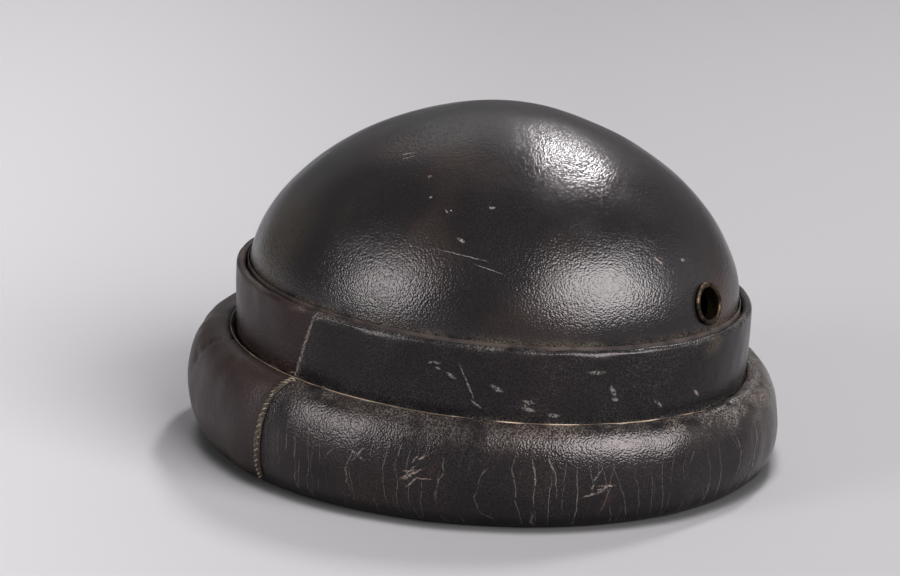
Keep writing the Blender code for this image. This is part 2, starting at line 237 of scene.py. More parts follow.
def sew_up(piece: Object, crease_deg: float = 50.0) -> None:
    """Merges doubles, closes open ends, turns the faces outwards and shades the piece smooth."""
    only(piece)
    bpy.ops.object.mode_set(mode="EDIT")
    bpy.ops.mesh.select_mode(type="VERT")
    bpy.ops.mesh.select_all(action="SELECT")
    bpy.ops.mesh.remove_doubles(threshold=0.002 * MM)
    bpy.ops.mesh.select_all(action="DESELECT")
    bpy.ops.mesh.select_non_manifold(extend=False, use_wire=False, use_multi_face=False)
    bpy.ops.mesh.fill_holes(sides=0)
    bpy.ops.mesh.select_all(action="SELECT")
    bpy.ops.mesh.normals_make_consistent(inside=False)
    bpy.ops.object.mode_set(mode="OBJECT")
    bpy.ops.object.shade_smooth_by_angle(angle=math.radians(crease_deg))


def primitive(add: Callable, name: str, **settings: object) -> Object:
    """Adds one of Blender's own objects while nothing else is selected.

    Args:
        add: The operator that adds it.
        name: The object's name.
        **settings: The operator's settings.

    Returns:
        The new object.
    """
    bpy.ops.object.select_all(action="DESELECT")
    add(**settings)
    made = bpy.context.object
    made.name = name
    return made


def shaped(piece: Object, points: np.ndarray, layers: dict[str, np.ndarray], cell: tuple) -> Object:
    """Draws a piece's vertices out to a grid of points.

    Args:
        piece: The piece, still a plain primitive.
        points: Rows and columns of x, y and z.
        layers: Values to paint, with the same rows and columns.
        cell: Each vertex's row and its column in the grid.

    Returns:
        The piece, sewn up.
    """
    write_points(piece, points[cell])
    for layer, values in layers.items():
        paint(piece, layer, values[cell])
    sew_up(piece)
    return piece


def ring_piece(name: str, points: np.ndarray, layers: dict[str, np.ndarray]) -> Object:
    """Shapes a torus into a closed ring.

    Args:
        name: The piece's name.
        points: Stations round the ring by points round each section, with x, y and z.
        layers: Values to paint, with the same two counts.

    Returns:
        The new piece, sewn up.
    """
    stations, around = points.shape[:2]
    torus = {"major_segments": stations, "minor_segments": around, "major_radius": 1.0, "minor_radius": 0.25}
    ring = primitive(bpy.ops.mesh.primitive_torus_add, name, **torus)
    start = read_points(ring)
    bearing = np.arctan2(-start[:, 0], -start[:, 1])
    turn = np.arctan2(start[:, 2], np.hypot(start[:, 0], start[:, 1]) - 1.0)
    station = np.rint(bearing / math.tau * stations).astype(int) % stations
    place = np.rint(turn / math.tau * around).astype(int) % around
    return shaped(ring, points, layers, (station, place))


def strip_piece(name: str, points: np.ndarray, layers: dict[str, np.ndarray]) -> Object:
    """Rolls a flat grid into a strip with a closed section and two closed ends.

    Args:
        name: The piece's name.
        points: Stations along the strip by points round each section, with x, y and z.
        layers: Values to paint, with the same two counts.

    Returns:
        The new piece, sewn up.
    """
    stations, around = points.shape[:2]
    grid = {"x_subdivisions": stations - 1, "y_subdivisions": around, "size": 2.0}
    strip = primitive(bpy.ops.mesh.primitive_grid_add, name, **grid)
    start = read_points(strip)
    station = np.rint(0.5 * (start[:, 0] + 1.0) * (stations - 1)).astype(int)
    place = np.rint(0.5 * (start[:, 1] + 1.0) * around).astype(int) % around
    return shaped(strip, points, layers, (station, place))


def grid_normals(points: np.ndarray) -> np.ndarray:
    """Normals of a closed ring's grid of points.

    Args:
        points: Stations round the ring by points round each section, with x, y and z.

    Returns:
        Unit normals that point out of the sections.
    """
    along = np.roll(points, -1, axis=0) - np.roll(points, 1, axis=0)
    around = np.roll(points, -1, axis=1) - np.roll(points, 1, axis=1)
    normal = np.cross(along, around)
    normal /= np.maximum(np.linalg.norm(normal, axis=-1, keepdims=True), 1e-12)
    middle = points.mean(axis=1, keepdims=True)
    if ((points - middle) * normal).sum() < 0.0:
        normal = -normal
    return normal


def linear(hex_colour: str) -> tuple[float, float, float, float]:
    """Linear colour of an sRGB hex value."""
    channels = [int(hex_colour[index:index + 2], 16) / 255.0 for index in (1, 3, 5)]
    bent = [value / 12.92 if value <= 0.04045 else ((value + 0.055) / 1.055) ** 2.4 for value in channels]
    return (*bent, 1.0)


def add_node(
    tree: NodeTree, kind: str, sockets: dict | None = None, output: str = "", **settings: object
) -> NodeSocket:
    """Adds one node, sets it and links it.

    Args:
        tree: The material's node tree.
        kind: Node type without its prefix.
        sockets: Values or upstream outputs, by the input's name or number.
        output: The output to give back, if it isn't the first one in use.
        **settings: Attributes of the node.

    Returns:
        The node's output.
    """
    node = tree.nodes.new("ShaderNode" + kind)
    for setting, value in settings.items():
        setattr(node, setting, value)
    for key, value in (sockets or {}).items():
        if isinstance(value, NodeSocket):
            tree.links.new(value, node.inputs[key])
        else:
            node.inputs[key].default_value = value
    if output:
        return node.outputs[output]
    return next(found for found in node.outputs if found.enabled)


def new_finish(name: str) -> tuple[Material, NodeTree, NodeSocket]:
    """A material that holds only a Principled surface, its node tree and its coordinates."""
    made = bpy.data.materials.new(name)
    made.use_nodes = True
    place = add_node(made.node_tree, "TexCoord", output="Object")
    return made, made.node_tree, place


def blots(
    tree: NodeTree, place: NodeSocket, size_mm: float, low: float, high: float, detail: float = 3.0
) -> NodeSocket:
    """Irregular blots of about this size, from 0 between them to 1 inside."""
    cloud = add_node(tree, "TexNoise", {"Vector": place, "Scale": 0.5 / (size_mm * MM), "Detail": detail})
    spread = {"Value": cloud, "From Min": low, "From Max": high}
    return add_node(tree, "MapRange", spread, interpolation_type="SMOOTHSTEP")


def veil(
    tree: NodeTree, under: NodeSocket, mask: NodeSocket, share: float, colour: str
) -> NodeSocket:
    """Lays this share of a colour over another where the mask is full."""
    cover = add_node(tree, "Math", {0: mask, 1: share}, operation="MULTIPLY")
    return add_node(tree, "Mix", {0: cover, 6: under, 7: linear(colour)}, data_type="RGBA")


def wandering(
    tree: NodeTree, place: NodeSocket, size_mm: float, reach_mm: float
) -> NodeSocket:
    """Coordinates that wander by up to this reach, so that edges drawn on them come out ragged."""
    noise = {"Vector": place, "Scale": 0.5 / (size_mm * MM), "Detail": 3.0}
    cloud = add_node(tree, "TexNoise", noise, "Color")
    centred = add_node(tree, "VectorMath", {0: cloud, 1: (0.5, 0.5, 0.5)}, operation="SUBTRACT")
    reach = 2.0 * reach_mm * MM
    return add_node(tree, "VectorMath", {0: centred, 1: (reach,) * 3, 2: place}, operation="MULTIPLY_ADD")


def oval_marks(
    tree: NodeTree, place: NodeSocket, spots: list[tuple[Matrix, Mark]], soft: float
) -> NodeSocket:
    """One mask for a set of oval marks.

    Args:
        tree: The material's node tree.
        place: Coordinates, wandering if the marks are ragged.
        spots: Each mark with its frame on the surface, whose x axis runs along the mark.
        soft: Share of a mark over which it fades.

    Returns:
        1 inside the marks and 0 outside.
    """
    nearest = None
    for spot, mark in spots:
        sockets = {
            "Vector": place,
            "Location": spot.translation,
            "Rotation": spot.to_euler("XYZ"),
            "Scale": (0.5 * mark.length * MM, 0.5 * mark.width * MM, 0.5 * max(mark.length, 12.0) * MM),
        }
        inside = add_node(tree, "Mapping", sockets, vector_type="TEXTURE")
        distance = add_node(tree, "VectorMath", {0: inside}, "Value", operation="LENGTH")
        if nearest is None:
            nearest = distance
        else:
            nearest = add_node(tree, "Math", {0: nearest, 1: distance}, operation="MINIMUM")
    spread = {"Value": nearest, "From Min": 1.0 + 0.5 * soft, "From Max": 1.0 - 0.5 * soft}
    return add_node(tree, "MapRange", spread, interpolation_type="SMOOTHSTEP")


def lay_on(
    tree: NodeTree, skin: NodeSocket, rough: NodeSocket, height: NodeSocket, constants: dict[str, object]
) -> None:
    """Feeds a finish to its material's surface.

    Args:
        tree: The material's node tree.
        skin: Colour.
        rough: Roughness.
        height: Relief in millimetres.
        constants: Values of the surface's unlinked inputs, by name.
    """
    normal = add_node(tree, "Bump", {"Height": height, "Distance": MM, "Strength": 1.0})
    surface = tree.nodes["Principled BSDF"].inputs
    for name, source in (("Base Color", skin), ("Roughness", rough), ("Normal", normal)):
        tree.links.new(source, surface[name])
    for name, value in constants.items():
        surface[name].default_value = value


@dataclass(frozen=True)
class Leather:
    """Cowhide, vegetable tanned, stretched, dyed black and waxed, then worn for years.

    The dye stands a little satin over a pebbled grain, thins to brown where hands rub it,
    and holds pale dust in its low places.
    """

    name: str
    dye: str
    undertone: str
    far_dye: str
    dust: str
    roughness: float
    far_roughness: float
    grain_mm: float
    grain_lift: float
    wrinkle_mm: float
    wrinkle_lift: float
    drawn_out: tuple[float, float, float]
    undertone_share: float
    speckle_share: float
    valley_share: float
    dust_from: float = 0.38
    dust_to: float = 0.72
    sheen_tint: str = "#fff2f4"
    specular: float = 0.5
    craze_share: float = 0.0
    gathered: bool = False

    TONES = {
        Tone.RAW: ("#6f615a", 0.9, 0.50),
        Tone.RUST: ("#3a231d", 1.9, 0.20),
        Tone.PALE: ("#7a7672", 0.9, 0.32),
        Tone.DARK: ("#0f0d0d", 1.2, 0.80),
        Tone.OLIVE: ("#332b1f", 1.6, 0.50),
    }
    PORE_MM = 0.45
    ROUND_MM = 823.0  # the stuffed roll, once round
    CRAZE_LAYERS = ((6.5, 0.0), (10.0, 0.4))  # spacing in millimetres, shift of the pattern
    CRAZE_SWAYS = ((22.0, 1.0, 14.0), (4.5, 2.0, 1.9))  # size in millimetres, detail, reach in radians
    PLEAT_PHASE = 2200.0  # radians of the pleats' wave once round, for about 350 pleats

    def build(self, spots: list[tuple[Matrix, Mark]]) -> Material:
        """Lays up the finish.

        Args:
            spots: Marks with their frames on the surface.

        Returns:
            The new material.
        """
        made, tree, place = new_finish(self.name)
        far = add_node(tree, "Attribute", output="Fac", attribute_name="far")
        dusty = add_node(tree, "Attribute", output="Fac", attribute_name="dust")
        dyes = {0: far, 6: linear(self.dye), 7: linear(self.far_dye)}
        skin = add_node(tree, "Mix", dyes, data_type="RGBA")
        polish = {"Value": far, "To Min": self.roughness, "To Max": self.far_roughness}
        rough = add_node(tree, "MapRange", polish)

        worn = blots(tree, place, 26.0, 0.46, 0.72)
        skin = veil(tree, skin, worn, self.undertone_share, self.undertone)
        fine = blots(tree, place, 0.35, 0.56, 0.68, 1.0)
        where = blots(tree, place, 12.0, 0.42, 0.66)
        speckle = add_node(tree, "Math", {0: fine, 1: where}, operation="MULTIPLY")
        skin = veil(tree, skin, speckle, self.speckle_share, self.dust)
        smudge = blots(tree, place, 9.0, 0.25, 0.80, 1.0)
        for mask, duller in ((smudge, 0.08), (worn, 0.03)):
            rough = add_node(tree, "Math", {0: mask, 1: duller, 2: rough}, operation="MULTIPLY_ADD")
        pebble, height = self.grain(tree, place)
        spread = {"Value": pebble, "From Min": 0.30, "From Max": 0.62}
        valley = add_node(tree, "MapRange", spread, interpolation_type="SMOOTHSTEP")
        skin = veil(tree, skin, valley, self.valley_share, self.dust)

        if self.craze_share:
            lines = self.crazing(tree, place)
            skin = veil(tree, skin, lines, self.craze_share, self.dust)
            height = add_node(tree, "Math", {0: lines, 1: -0.12, 2: height}, operation="MULTIPLY_ADD")
        if self.gathered:
            pleat, drawn_in = self.gathers(tree, place)
            height = add_node(tree, "Math", {0: pleat, 1: 0.08, 2: height}, operation="MULTIPLY_ADD")
            rough = add_node(tree, "Math", {0: drawn_in, 1: 0.25, 2: rough}, operation="MULTIPLY_ADD")

        ragged = wandering(tree, place, 1.1, 0.5)
        grit = blots(tree, place, 0.5, 0.36, 0.56, 2.0)
        for tone, (colour, soft, share) in self.TONES.items():
            chosen = [(spot, mark) for spot, mark in spots if mark.tone is tone]
            if not chosen:
                continue
            mask = oval_marks(tree, ragged, chosen, soft)
            mask = add_node(tree, "Math", {0: mask, 1: grit}, operation="MULTIPLY")
            skin = veil(tree, skin, mask, share, colour)
            if tone in (Tone.RAW, Tone.PALE):
                height = add_node(tree, "Math", {0: mask, 1: -0.12, 2: height}, operation="MULTIPLY_ADD")
                rough = add_node(tree, "Math", {0: mask, 1: 0.25, 2: rough}, operation="MULTIPLY_ADD")

        film = blots(tree, place, 0.4, self.dust_from, self.dust_to)
        drift = blots(tree, place, 5.0, 0.30, 0.62)
        for mask in (drift, dusty):
            film = add_node(tree, "Math", {0: film, 1: mask}, operation="MULTIPLY")
        skin = veil(tree, skin, film, 0.62, self.dust)
        rough = add_node(tree, "Math", {0: film, 1: 0.22, 2: rough}, operation="MULTIPLY_ADD")
        if self.gathered:
            # Painted shade: the pleats' troughs are darkened to the dye's colour.
            spread = {"Value": pleat, "From Min": -0.12, "From Max": -0.40}
            pleat_trough_painted_shade = add_node(tree, "MapRange", spread, interpolation_type="SMOOTHSTEP")
            skin = veil(tree, skin, pleat_trough_painted_shade, 0.85, self.dye)
        sheen = {"Specular IOR Level": self.specular, "Specular Tint": linear(self.sheen_tint)}
        lay_on(tree, skin, rough, height, sheen)
        return made

    def grain(
        self, tree: NodeTree, place: NodeSocket
    ) -> tuple[NodeSocket, NodeSocket]:
        """Pebbled grain with its pores, and wrinkles drawn out along the hide.

        Args:
            tree: The material's node tree.
            place: Coordinates on the piece.

        Returns:
            How far each place is from its pebble's middle, and the height of it all.
        """
        cells = {"Vector": wandering(tree, place, 2.0, 0.4), "Scale": 1.0 / (self.grain_mm * MM)}
        pebble = add_node(tree, "TexVoronoi", {**cells, "Smoothness": 0.22}, feature="SMOOTH_F1")
        pores = {"Vector": place, "Scale": 0.5 / (self.PORE_MM * MM), "Detail": 2.0}
        pores = add_node(tree, "TexNoise", pores)
        drawn = add_node(tree, "Mapping", {"Vector": place, "Scale": self.drawn_out})
        folds = {"Vector": drawn, "Scale": 0.5 / (self.wrinkle_mm * MM), "Detail": 2.0}
        folds = add_node(tree, "TexNoise", folds)
        height = 0.0
        lifts = (-self.grain_lift, 0.4 * self.grain_lift, self.wrinkle_lift)
        for layer, lift in zip((pebble, pores, folds), lifts):
            height = add_node(tree, "Math", {0: layer, 1: lift, 2: height}, operation="MULTIPLY_ADD")
        return pebble, height

    def crazing(self, tree: NodeTree, place: NodeSocket) -> NodeSocket:
        """Fine upright lines where the stuffed cover has bent and dried.

        Args:
            tree: The material's node tree.
            place: Coordinates on the piece.

        Returns:
            1 in the lines, as far as the piece's "crazed" values allow them.
        """
        allowed = add_node(tree, "Attribute", output="Fac", attribute_name="crazed")
        around = add_node(tree, "Attribute", output="Fac", attribute_name="around")
        lines = 0.0
        for spacing, aside in self.CRAZE_LAYERS:
            moved = add_node(tree, "Mapping", {"Vector": place, "Location": (aside, 0.0, aside)})
            phase = math.pi * self.ROUND_MM / spacing
            turns = add_node(tree, "Math", {0: around, 1: phase}, operation="MULTIPLY")
            for size_mm, detail, reach in self.CRAZE_SWAYS:
                sway = {"Vector": moved, "Scale": 0.5 / (size_mm * MM), "Detail": detail}
                sway = add_node(tree, "TexNoise", sway)
                turns = add_node(tree, "Math", {0: sway, 1: reach, 2: turns}, operation="MULTIPLY_ADD")
            wave = add_node(tree, "Math", {0: turns}, operation="SINE")
            wave = add_node(tree, "Math", {0: wave}, operation="ABSOLUTE")
            spread = {"Value": wave, "From Min": 0.14, "From Max": 0.02}
            wave = add_node(tree, "MapRange", spread, interpolation_type="SMOOTHSTEP")
            drawn = add_node(tree, "Mapping", {"Vector": moved, "Scale": (1.0, 1.0, 0.22)})
            kept = blots(tree, drawn, 4.0, 0.43, 0.60)
            wave = add_node(tree, "Math", {0: wave, 1: kept}, operation="MULTIPLY")
            lines = add_node(tree, "Math", {0: lines, 1: wave}, operation="MAXIMUM")
        for mask in (blots(tree, place, 0.7, 0.30, 0.55, 2.0), allowed):
            lines = add_node(tree, "Math", {0: lines, 1: mask}, operation="MULTIPLY")
        return lines

    def gathers(
        self, tree: NodeTree, place: NodeSocket
    ) -> tuple[NodeSocket, NodeSocket]:
        """Short pleats by the groove, where the cover is drawn in.

        Args:
            tree: The material's node tree.
            place: Coordinates on the piece.

        Returns:
            The pleats, from -1 to 1 at most, and how strongly the cover is drawn in.
        """
        around = add_node(tree, "Attribute", output="Fac", attribute_name="around")
        strength = add_node(tree, "Attribute", output="Fac", attribute_name="gather")
        jitter = add_node(tree, "TexNoise", {"Vector": place, "Scale": 0.5 / (6.0 * MM), "Detail": 1.0})
        turns = add_node(tree, "Math", {0: around, 1: self.PLEAT_PHASE}, operation="MULTIPLY")
        turns = add_node(tree, "Math", {0: jitter, 1: 7.0, 2: turns}, operation="MULTIPLY_ADD")
        pleat = add_node(tree, "Math", {0: turns}, operation="SINE")
        return add_node(tree, "Math", {0: pleat, 1: strength}, operation="MULTIPLY"), strength


@dataclass(frozen=True)
class PlainFinish:
    """A small piece's surface with blotted colour and fine grit.

    Cut leather looks fibrous and dry, waxed thread dull and dark in its twist, and rubbed
    brass bright on its high edge and brown below.
    """

    name: str
    colour: str
    shade: str
    blot_mm: float
    roughness: float
    metallic: float = 0.0
    grit_lift: float = 0.05
    specular: float = 0.25

    def build(self) -> Material:
        """Lays up the finish.

        Returns:
            The new material.
        """
        made, tree, place = new_finish(self.name)
        worn = blots(tree, place, self.blot_mm, 0.38, 0.62)
        colours = {0: worn, 6: linear(self.shade), 7: linear(self.colour)}
        skin = add_node(tree, "Mix", colours, data_type="RGBA")
        # Where a piece carries these values (only the cut edge), its colour is darkened towards the dark
        # colour as painted shade.
        painted_shade = add_node(tree, "Attribute", output="Fac", attribute_name="painted_shade")
        skin = veil(tree, skin, painted_shade, 0.85, self.shade)
        dullest = min(1.0, self.roughness + 0.18)
        rough = add_node(tree, "MapRange", {"Value": worn, "To Min": dullest, "To Max": self.roughness})
        grit = add_node(tree, "TexNoise", {"Vector": place, "Scale": 0.5 / (0.5 * MM), "Detail": 3.0})
        height = add_node(tree, "Math", {0: grit, 1: self.grit_lift}, operation="MULTIPLY")
        sheen = {"Metallic": self.metallic, "Specular IOR Level": self.specular}
        lay_on(tree, skin, rough, height, sheen)
        return made


def dress(piece: Object, material: Material) -> None:
    """Gives the whole piece one material."""
    piece.data.materials.clear()
    piece.data.materials.append(material)


def hand_over(piece: Object, material: Material, slot: Slot, *nodes: str) -> None:
    """Dresses a finished piece and hangs it on the frame.

    Args:
        piece: The piece.
        material: Its only material.
        slot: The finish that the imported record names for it.
        *nodes: The solids that it stands for, if any.
    """
    dress(piece, material)
    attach(piece, "root")
    if nodes:
        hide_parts(*nodes)
    triangles = sum(len(face.vertices) - 2 for face in piece.data.polygons)
    LOG.info("%s: %d triangles, finish %s", piece.name, triangles, slot.value)


def frayed(spot: Matrix, mark: Mark) -> list[tuple[Matrix, Mark]]:
    """Splits a wide scuff into the thin scratches that it is made of.

    Args:
        spot: The mark's frame on its surface.
        mark: The mark.

    Returns:
        The scratches with their frames, or the mark alone if it isn't a wide scuff.
    """
    if mark.tone not in (Tone.RAW, Tone.PALE) or mark.width < SCUFF_MM:
        return [(spot, mark)]
    draw = np.random.default_rng(int(1000.0 + 10.0 * mark.bearing))
    scratches = []
    for _ in range(round(mark.width)):
        along = draw.uniform(-0.35, 0.35) * mark.length * MM
        across = draw.uniform(-0.5, 0.5) * mark.width * MM
        turned = Matrix.Rotation(math.radians(draw.normal(0.0, 14.0)), 4, "Z")
        moved = spot @ Matrix.Translation((along, across, 0.0)) @ turned
        length, width = mark.length * draw.uniform(0.25, 0.75), draw.uniform(0.45, 0.85)
        scratches.append((moved, replace(mark, length=length, width=width)))
    return scratches


def surface_frame(middle: np.ndarray, around: np.ndarray, upward: np.ndarray, tilt_deg: float) -> Matrix:
    """Frame on a surface whose x axis is turned from the way round by a tilt.

    Args:
        middle: The frame's origin.
        around: Any vector along the surface, round the helmet.
        upward: Any vector along the surface, up it.
        tilt_deg: Turn of the x axis from around towards upward.

    Returns:
        The frame, whose z axis is square to the surface.
    """
    across = Vector(around).normalized()
    rising = Vector(upward)
    rising = (rising - rising.dot(across) * across).normalized()
    tilt = math.radians(tilt_deg)
    along = math.cos(tilt) * across + math.sin(tilt) * rising
    inward = across.cross(rising)
    columns = Matrix((along, inward.cross(along), inward)).transposed().to_4x4()
    return Matrix.Translation(Vector(middle)) @ columns


def laid_out(
    marks: tuple[Mark, ...], point_at: Callable[[float, float], np.ndarray], unit: float, step: float
) -> list[tuple[Matrix, Mark]]:
    """Puts a surface's marks in their places.

    Args:
        marks: The marks.
        point_at: World point of a bearing in radians and a climb.
        unit: What a mark's climb is counted in: a degree or a millimetre.
        step: Climb on either side of a mark between which the slope is read.

    Returns:
        The marks with their frames, wide scuffs as separate scratches.
    """
    found = []
    for mark in marks:
        bearing, climb = math.radians(mark.bearing), mark.climb * unit
        around = point_at(bearing + NEAR, climb) - point_at(bearing - NEAR, climb)
        upward = point_at(bearing, climb + step) - point_at(bearing, climb - step)
        found += frayed(surface_frame(point_at(bearing, climb), around, upward, mark.tilt), mark)
    return found


@dataclass(frozen=True)
class Crown:
    """The hard domed shell and the eyelet set in it."""

    form: HelmetForm
    stations: int = 288
    rings: int = 72
    vent_share: float = 0.15
    bore: float = 7.0 * MM
    barrel: float = 0.8 * MM
    flange: float = 9.4 * MM
    flange_lift: float = 1.1 * MM
    swell: float = 0.22 * MM

    MARKS = (
        # bearing, climb, length, width, tilt, tone
        Mark(104.5, 54.3, 8.0, 1.0, -36, Tone.PALE),
        Mark(101.9, 53.2, 5.0, 0.9, -38, Tone.PALE),
        Mark(86.7, 48.9, 1.6, 1.4, 0, Tone.PALE),
        Mark(82.0, 42.7, 1.4, 1.2, 0, Tone.PALE),
        Mark(74.1, 39.5, 3.4, 2.2, 33, Tone.PALE),
        Mark(62.1, 42.4, 2.6, 1.2, -9, Tone.PALE),
        Mark(68.8, 31.7, 3.8, 1.3, 26, Tone.PALE),
        Mark(66.8, 27.4, 20.0, 0.42, 6, Tone.PALE),
        Mark(60.5, 24.4, 12.0, 0.38, 14, Tone.PALE),
        Mark(152.0, 41.0, 9.0, 1.3, -15, Tone.RAW),
        Mark(13.8, 25.8, 6.5, 2.2, 62, Tone.RAW),
        Mark(5.2, 25.5, 2.0, 1.3, 12, Tone.PALE),
        Mark(110.5, 54.8, 30.0, 15.0, -22, Tone.RUST),
        Mark(-8.0, 8.0, 16.0, 20.0, 0, Tone.RUST),
        Mark(125.7, 16.0, 45.0, 40.0, 90, Tone.OLIVE),
        Mark(210.0, 30.0, 50.0, 30.0, 20, Tone.OLIVE),
        Mark(255.0, 45.0, 7.0, 1.2, 30, Tone.PALE),
        Mark(300.0, 25.0, 5.0, 2.0, -50, Tone.RAW),
    )

    def vent_matrix(self) -> Matrix:
        """Matrix at the vent: its origin on the dome's outer face and its z along the normal."""
        climb = math.asin(self.vent_share ** (self.form.roundness / 2.0))
        step = 0.01
        middle = Vector(self.form.dome_point(0.0, climb))
        around = Vector(self.form.dome_point(step, climb) - self.form.dome_point(-step, climb))
        upward = Vector(self.form.dome_point(0.0, climb + step) - self.form.dome_point(0.0, climb - step))
        normal = upward.cross(around).normalized()
        if normal.y > 0.0:
            normal.negate()
        return Matrix.Translation(middle) @ normal.to_track_quat("Z", "Y").to_matrix().to_4x4()

    def shell(self) -> Object:
        """Half a sphere drawn down to a wall, shaped to the dome, given its thickness and bored."""
        ball = {"segments": self.stations, "ring_count": 2 * self.rings, "radius": 1.0}
        shell = primitive(bpy.ops.mesh.primitive_uv_sphere_add, "crown_shell", **ball)
        bpy.ops.object.mode_set(mode="EDIT")
        bpy.ops.mesh.select_mode(type="VERT")
        bpy.ops.mesh.select_all(action="DESELECT")
        bpy.ops.object.mode_set(mode="OBJECT")
        height = read_points(shell)[:, 2]
        shell.data.vertices.foreach_set("select", height < -0.5 / self.rings)
        bpy.ops.object.mode_set(mode="EDIT")
        bpy.ops.mesh.delete(type="VERT")
        bpy.ops.mesh.select_all(action="DESELECT")
        bpy.ops.mesh.select_non_manifold(extend=False)
        for _ in range(6):
            bpy.ops.mesh.extrude_edges_move(TRANSFORM_OT_translate={"value": (0.0, 0.0, -0.25)})
        bpy.ops.object.mode_set(mode="OBJECT")

        points = read_points(shell)
        bearing = np.arctan2(-points[:, 0], -points[:, 1])
        climb = np.arcsin(np.clip(points[:, 2], 0.0, 1.0))
        drop = np.clip(-points[:, 2] / 1.5, 0.0, 1.0)
        domed = self.form.dome_point(bearing, climb)
        walled = self.form.place(bearing, 0.0, self.form.rim + (self.form.foot - self.form.rim) * drop)
        points = np.where((drop > 0.0)[:, None], walled, domed)
        outward = points - np.array([*self.form.centre, 0.5 * self.form.rim])
        outward /= np.linalg.norm(outward, axis=1, keepdims=True)
        lumps = self.lumps(points) * self.swell * ease(climb / 0.3)
        write_points(shell, points + outward * lumps[:, None])
        rise = self.form.dome * np.sin(climb) ** (2.0 / self.form.roundness)
        paint(shell, "dust", 0.60 * np.exp(-((rise / (2.6 * MM)) ** 2)) * (drop <= 0.0))

        apply_modifier(shell, "SOLIDIFY", thickness=self.form.wall, offset=-1.0, use_even_offset=True)
        radius = self.bore + self.barrel + self.form.gap
        drill = {"vertices": 64, "radius": radius, "depth": 8.0 * self.form.wall}
        cutter = primitive(bpy.ops.mesh.primitive_cylinder_add, "vent_cutter", **drill)
        cutter.matrix_world = self.vent_matrix()
        bpy.context.view_layer.update()
        apply_modifier(shell, "BOOLEAN", operation="DIFFERENCE", object=cutter, solver="EXACT")
        bpy.data.objects.remove(cutter, do_unlink=True)
        sew_up(shell)
        return shell

    def lumps(self, points: np.ndarray) -> np.ndarray:
        """Shallow swells of leather that was stretched by hand over the block."""
        draw = np.random.default_rng(11)
        total = np.zeros(len(points))
        for _ in range(12):
            way = draw.normal(size=3)
            way /= np.linalg.norm(way)
            length = draw.uniform(26.0, 70.0) * MM
            total += np.sin(points @ way * math.tau / length + draw.uniform(0.0, math.tau))
        return total / 4.0

    def eyelet(self) -> Object:
        """A set eyelet: a rolled flange outside, a barrel through the wall and a clinched foot."""
        rim = self.bore + self.barrel
        seat, back = self.form.gap, -(self.form.wall + 1.1 * MM)
        lift = self.flange_lift
        half = 0.5 * (self.flange - self.bore)
        outline = [(self.flange - half + half * math.cos(turn), seat + lift * math.sin(turn))
                   for turn in np.linspace(0.0, 0.93 * math.pi, 15)]
        outline += [(self.bore, seat + 0.1 * lift), (self.bore, 0.5 * back), (self.bore, back - 0.7 * lift)]
        outline += [(self.flange - 0.4 * MM, back - 0.7 * lift), (self.flange, back - 0.35 * lift)]
        outline += [(self.flange - 0.4 * MM, back), (rim, back), (rim, 0.5 * back), (rim, seat)]
        section = np.array(outline)
        turn = np.linspace(0.0, math.tau, 96, endpoint=False)[:, None]
        radius, height = section[:, 0][None, :], section[:, 1][None, :]
        around = 0.0 * turn
        local = (radius * np.cos(turn), radius * np.sin(turn), height + around, np.ones_like(radius * turn))
        points = (np.stack(local, axis=-1) @ np.array(self.vent_matrix()).T)[..., :3]
        return ring_piece("crown_vent_eyelet", points, {})

    def spots(self) -> list[tuple[Matrix, Mark]]:
        """Marks with their frames on the dome."""
        return laid_out(self.MARKS, self.form.dome_point, math.radians(1.0), NEAR)

    def make(self) -> None:
        """Builds and dresses the shell and the eyelet."""
        hand_over(self.shell(), CROWN_LEATHER.build(self.spots()), Slot.CROWN, "crown")
        hand_over(self.eyelet(), EYELET_BRASS.build(), Slot.BRASS, "vent_eyelet")


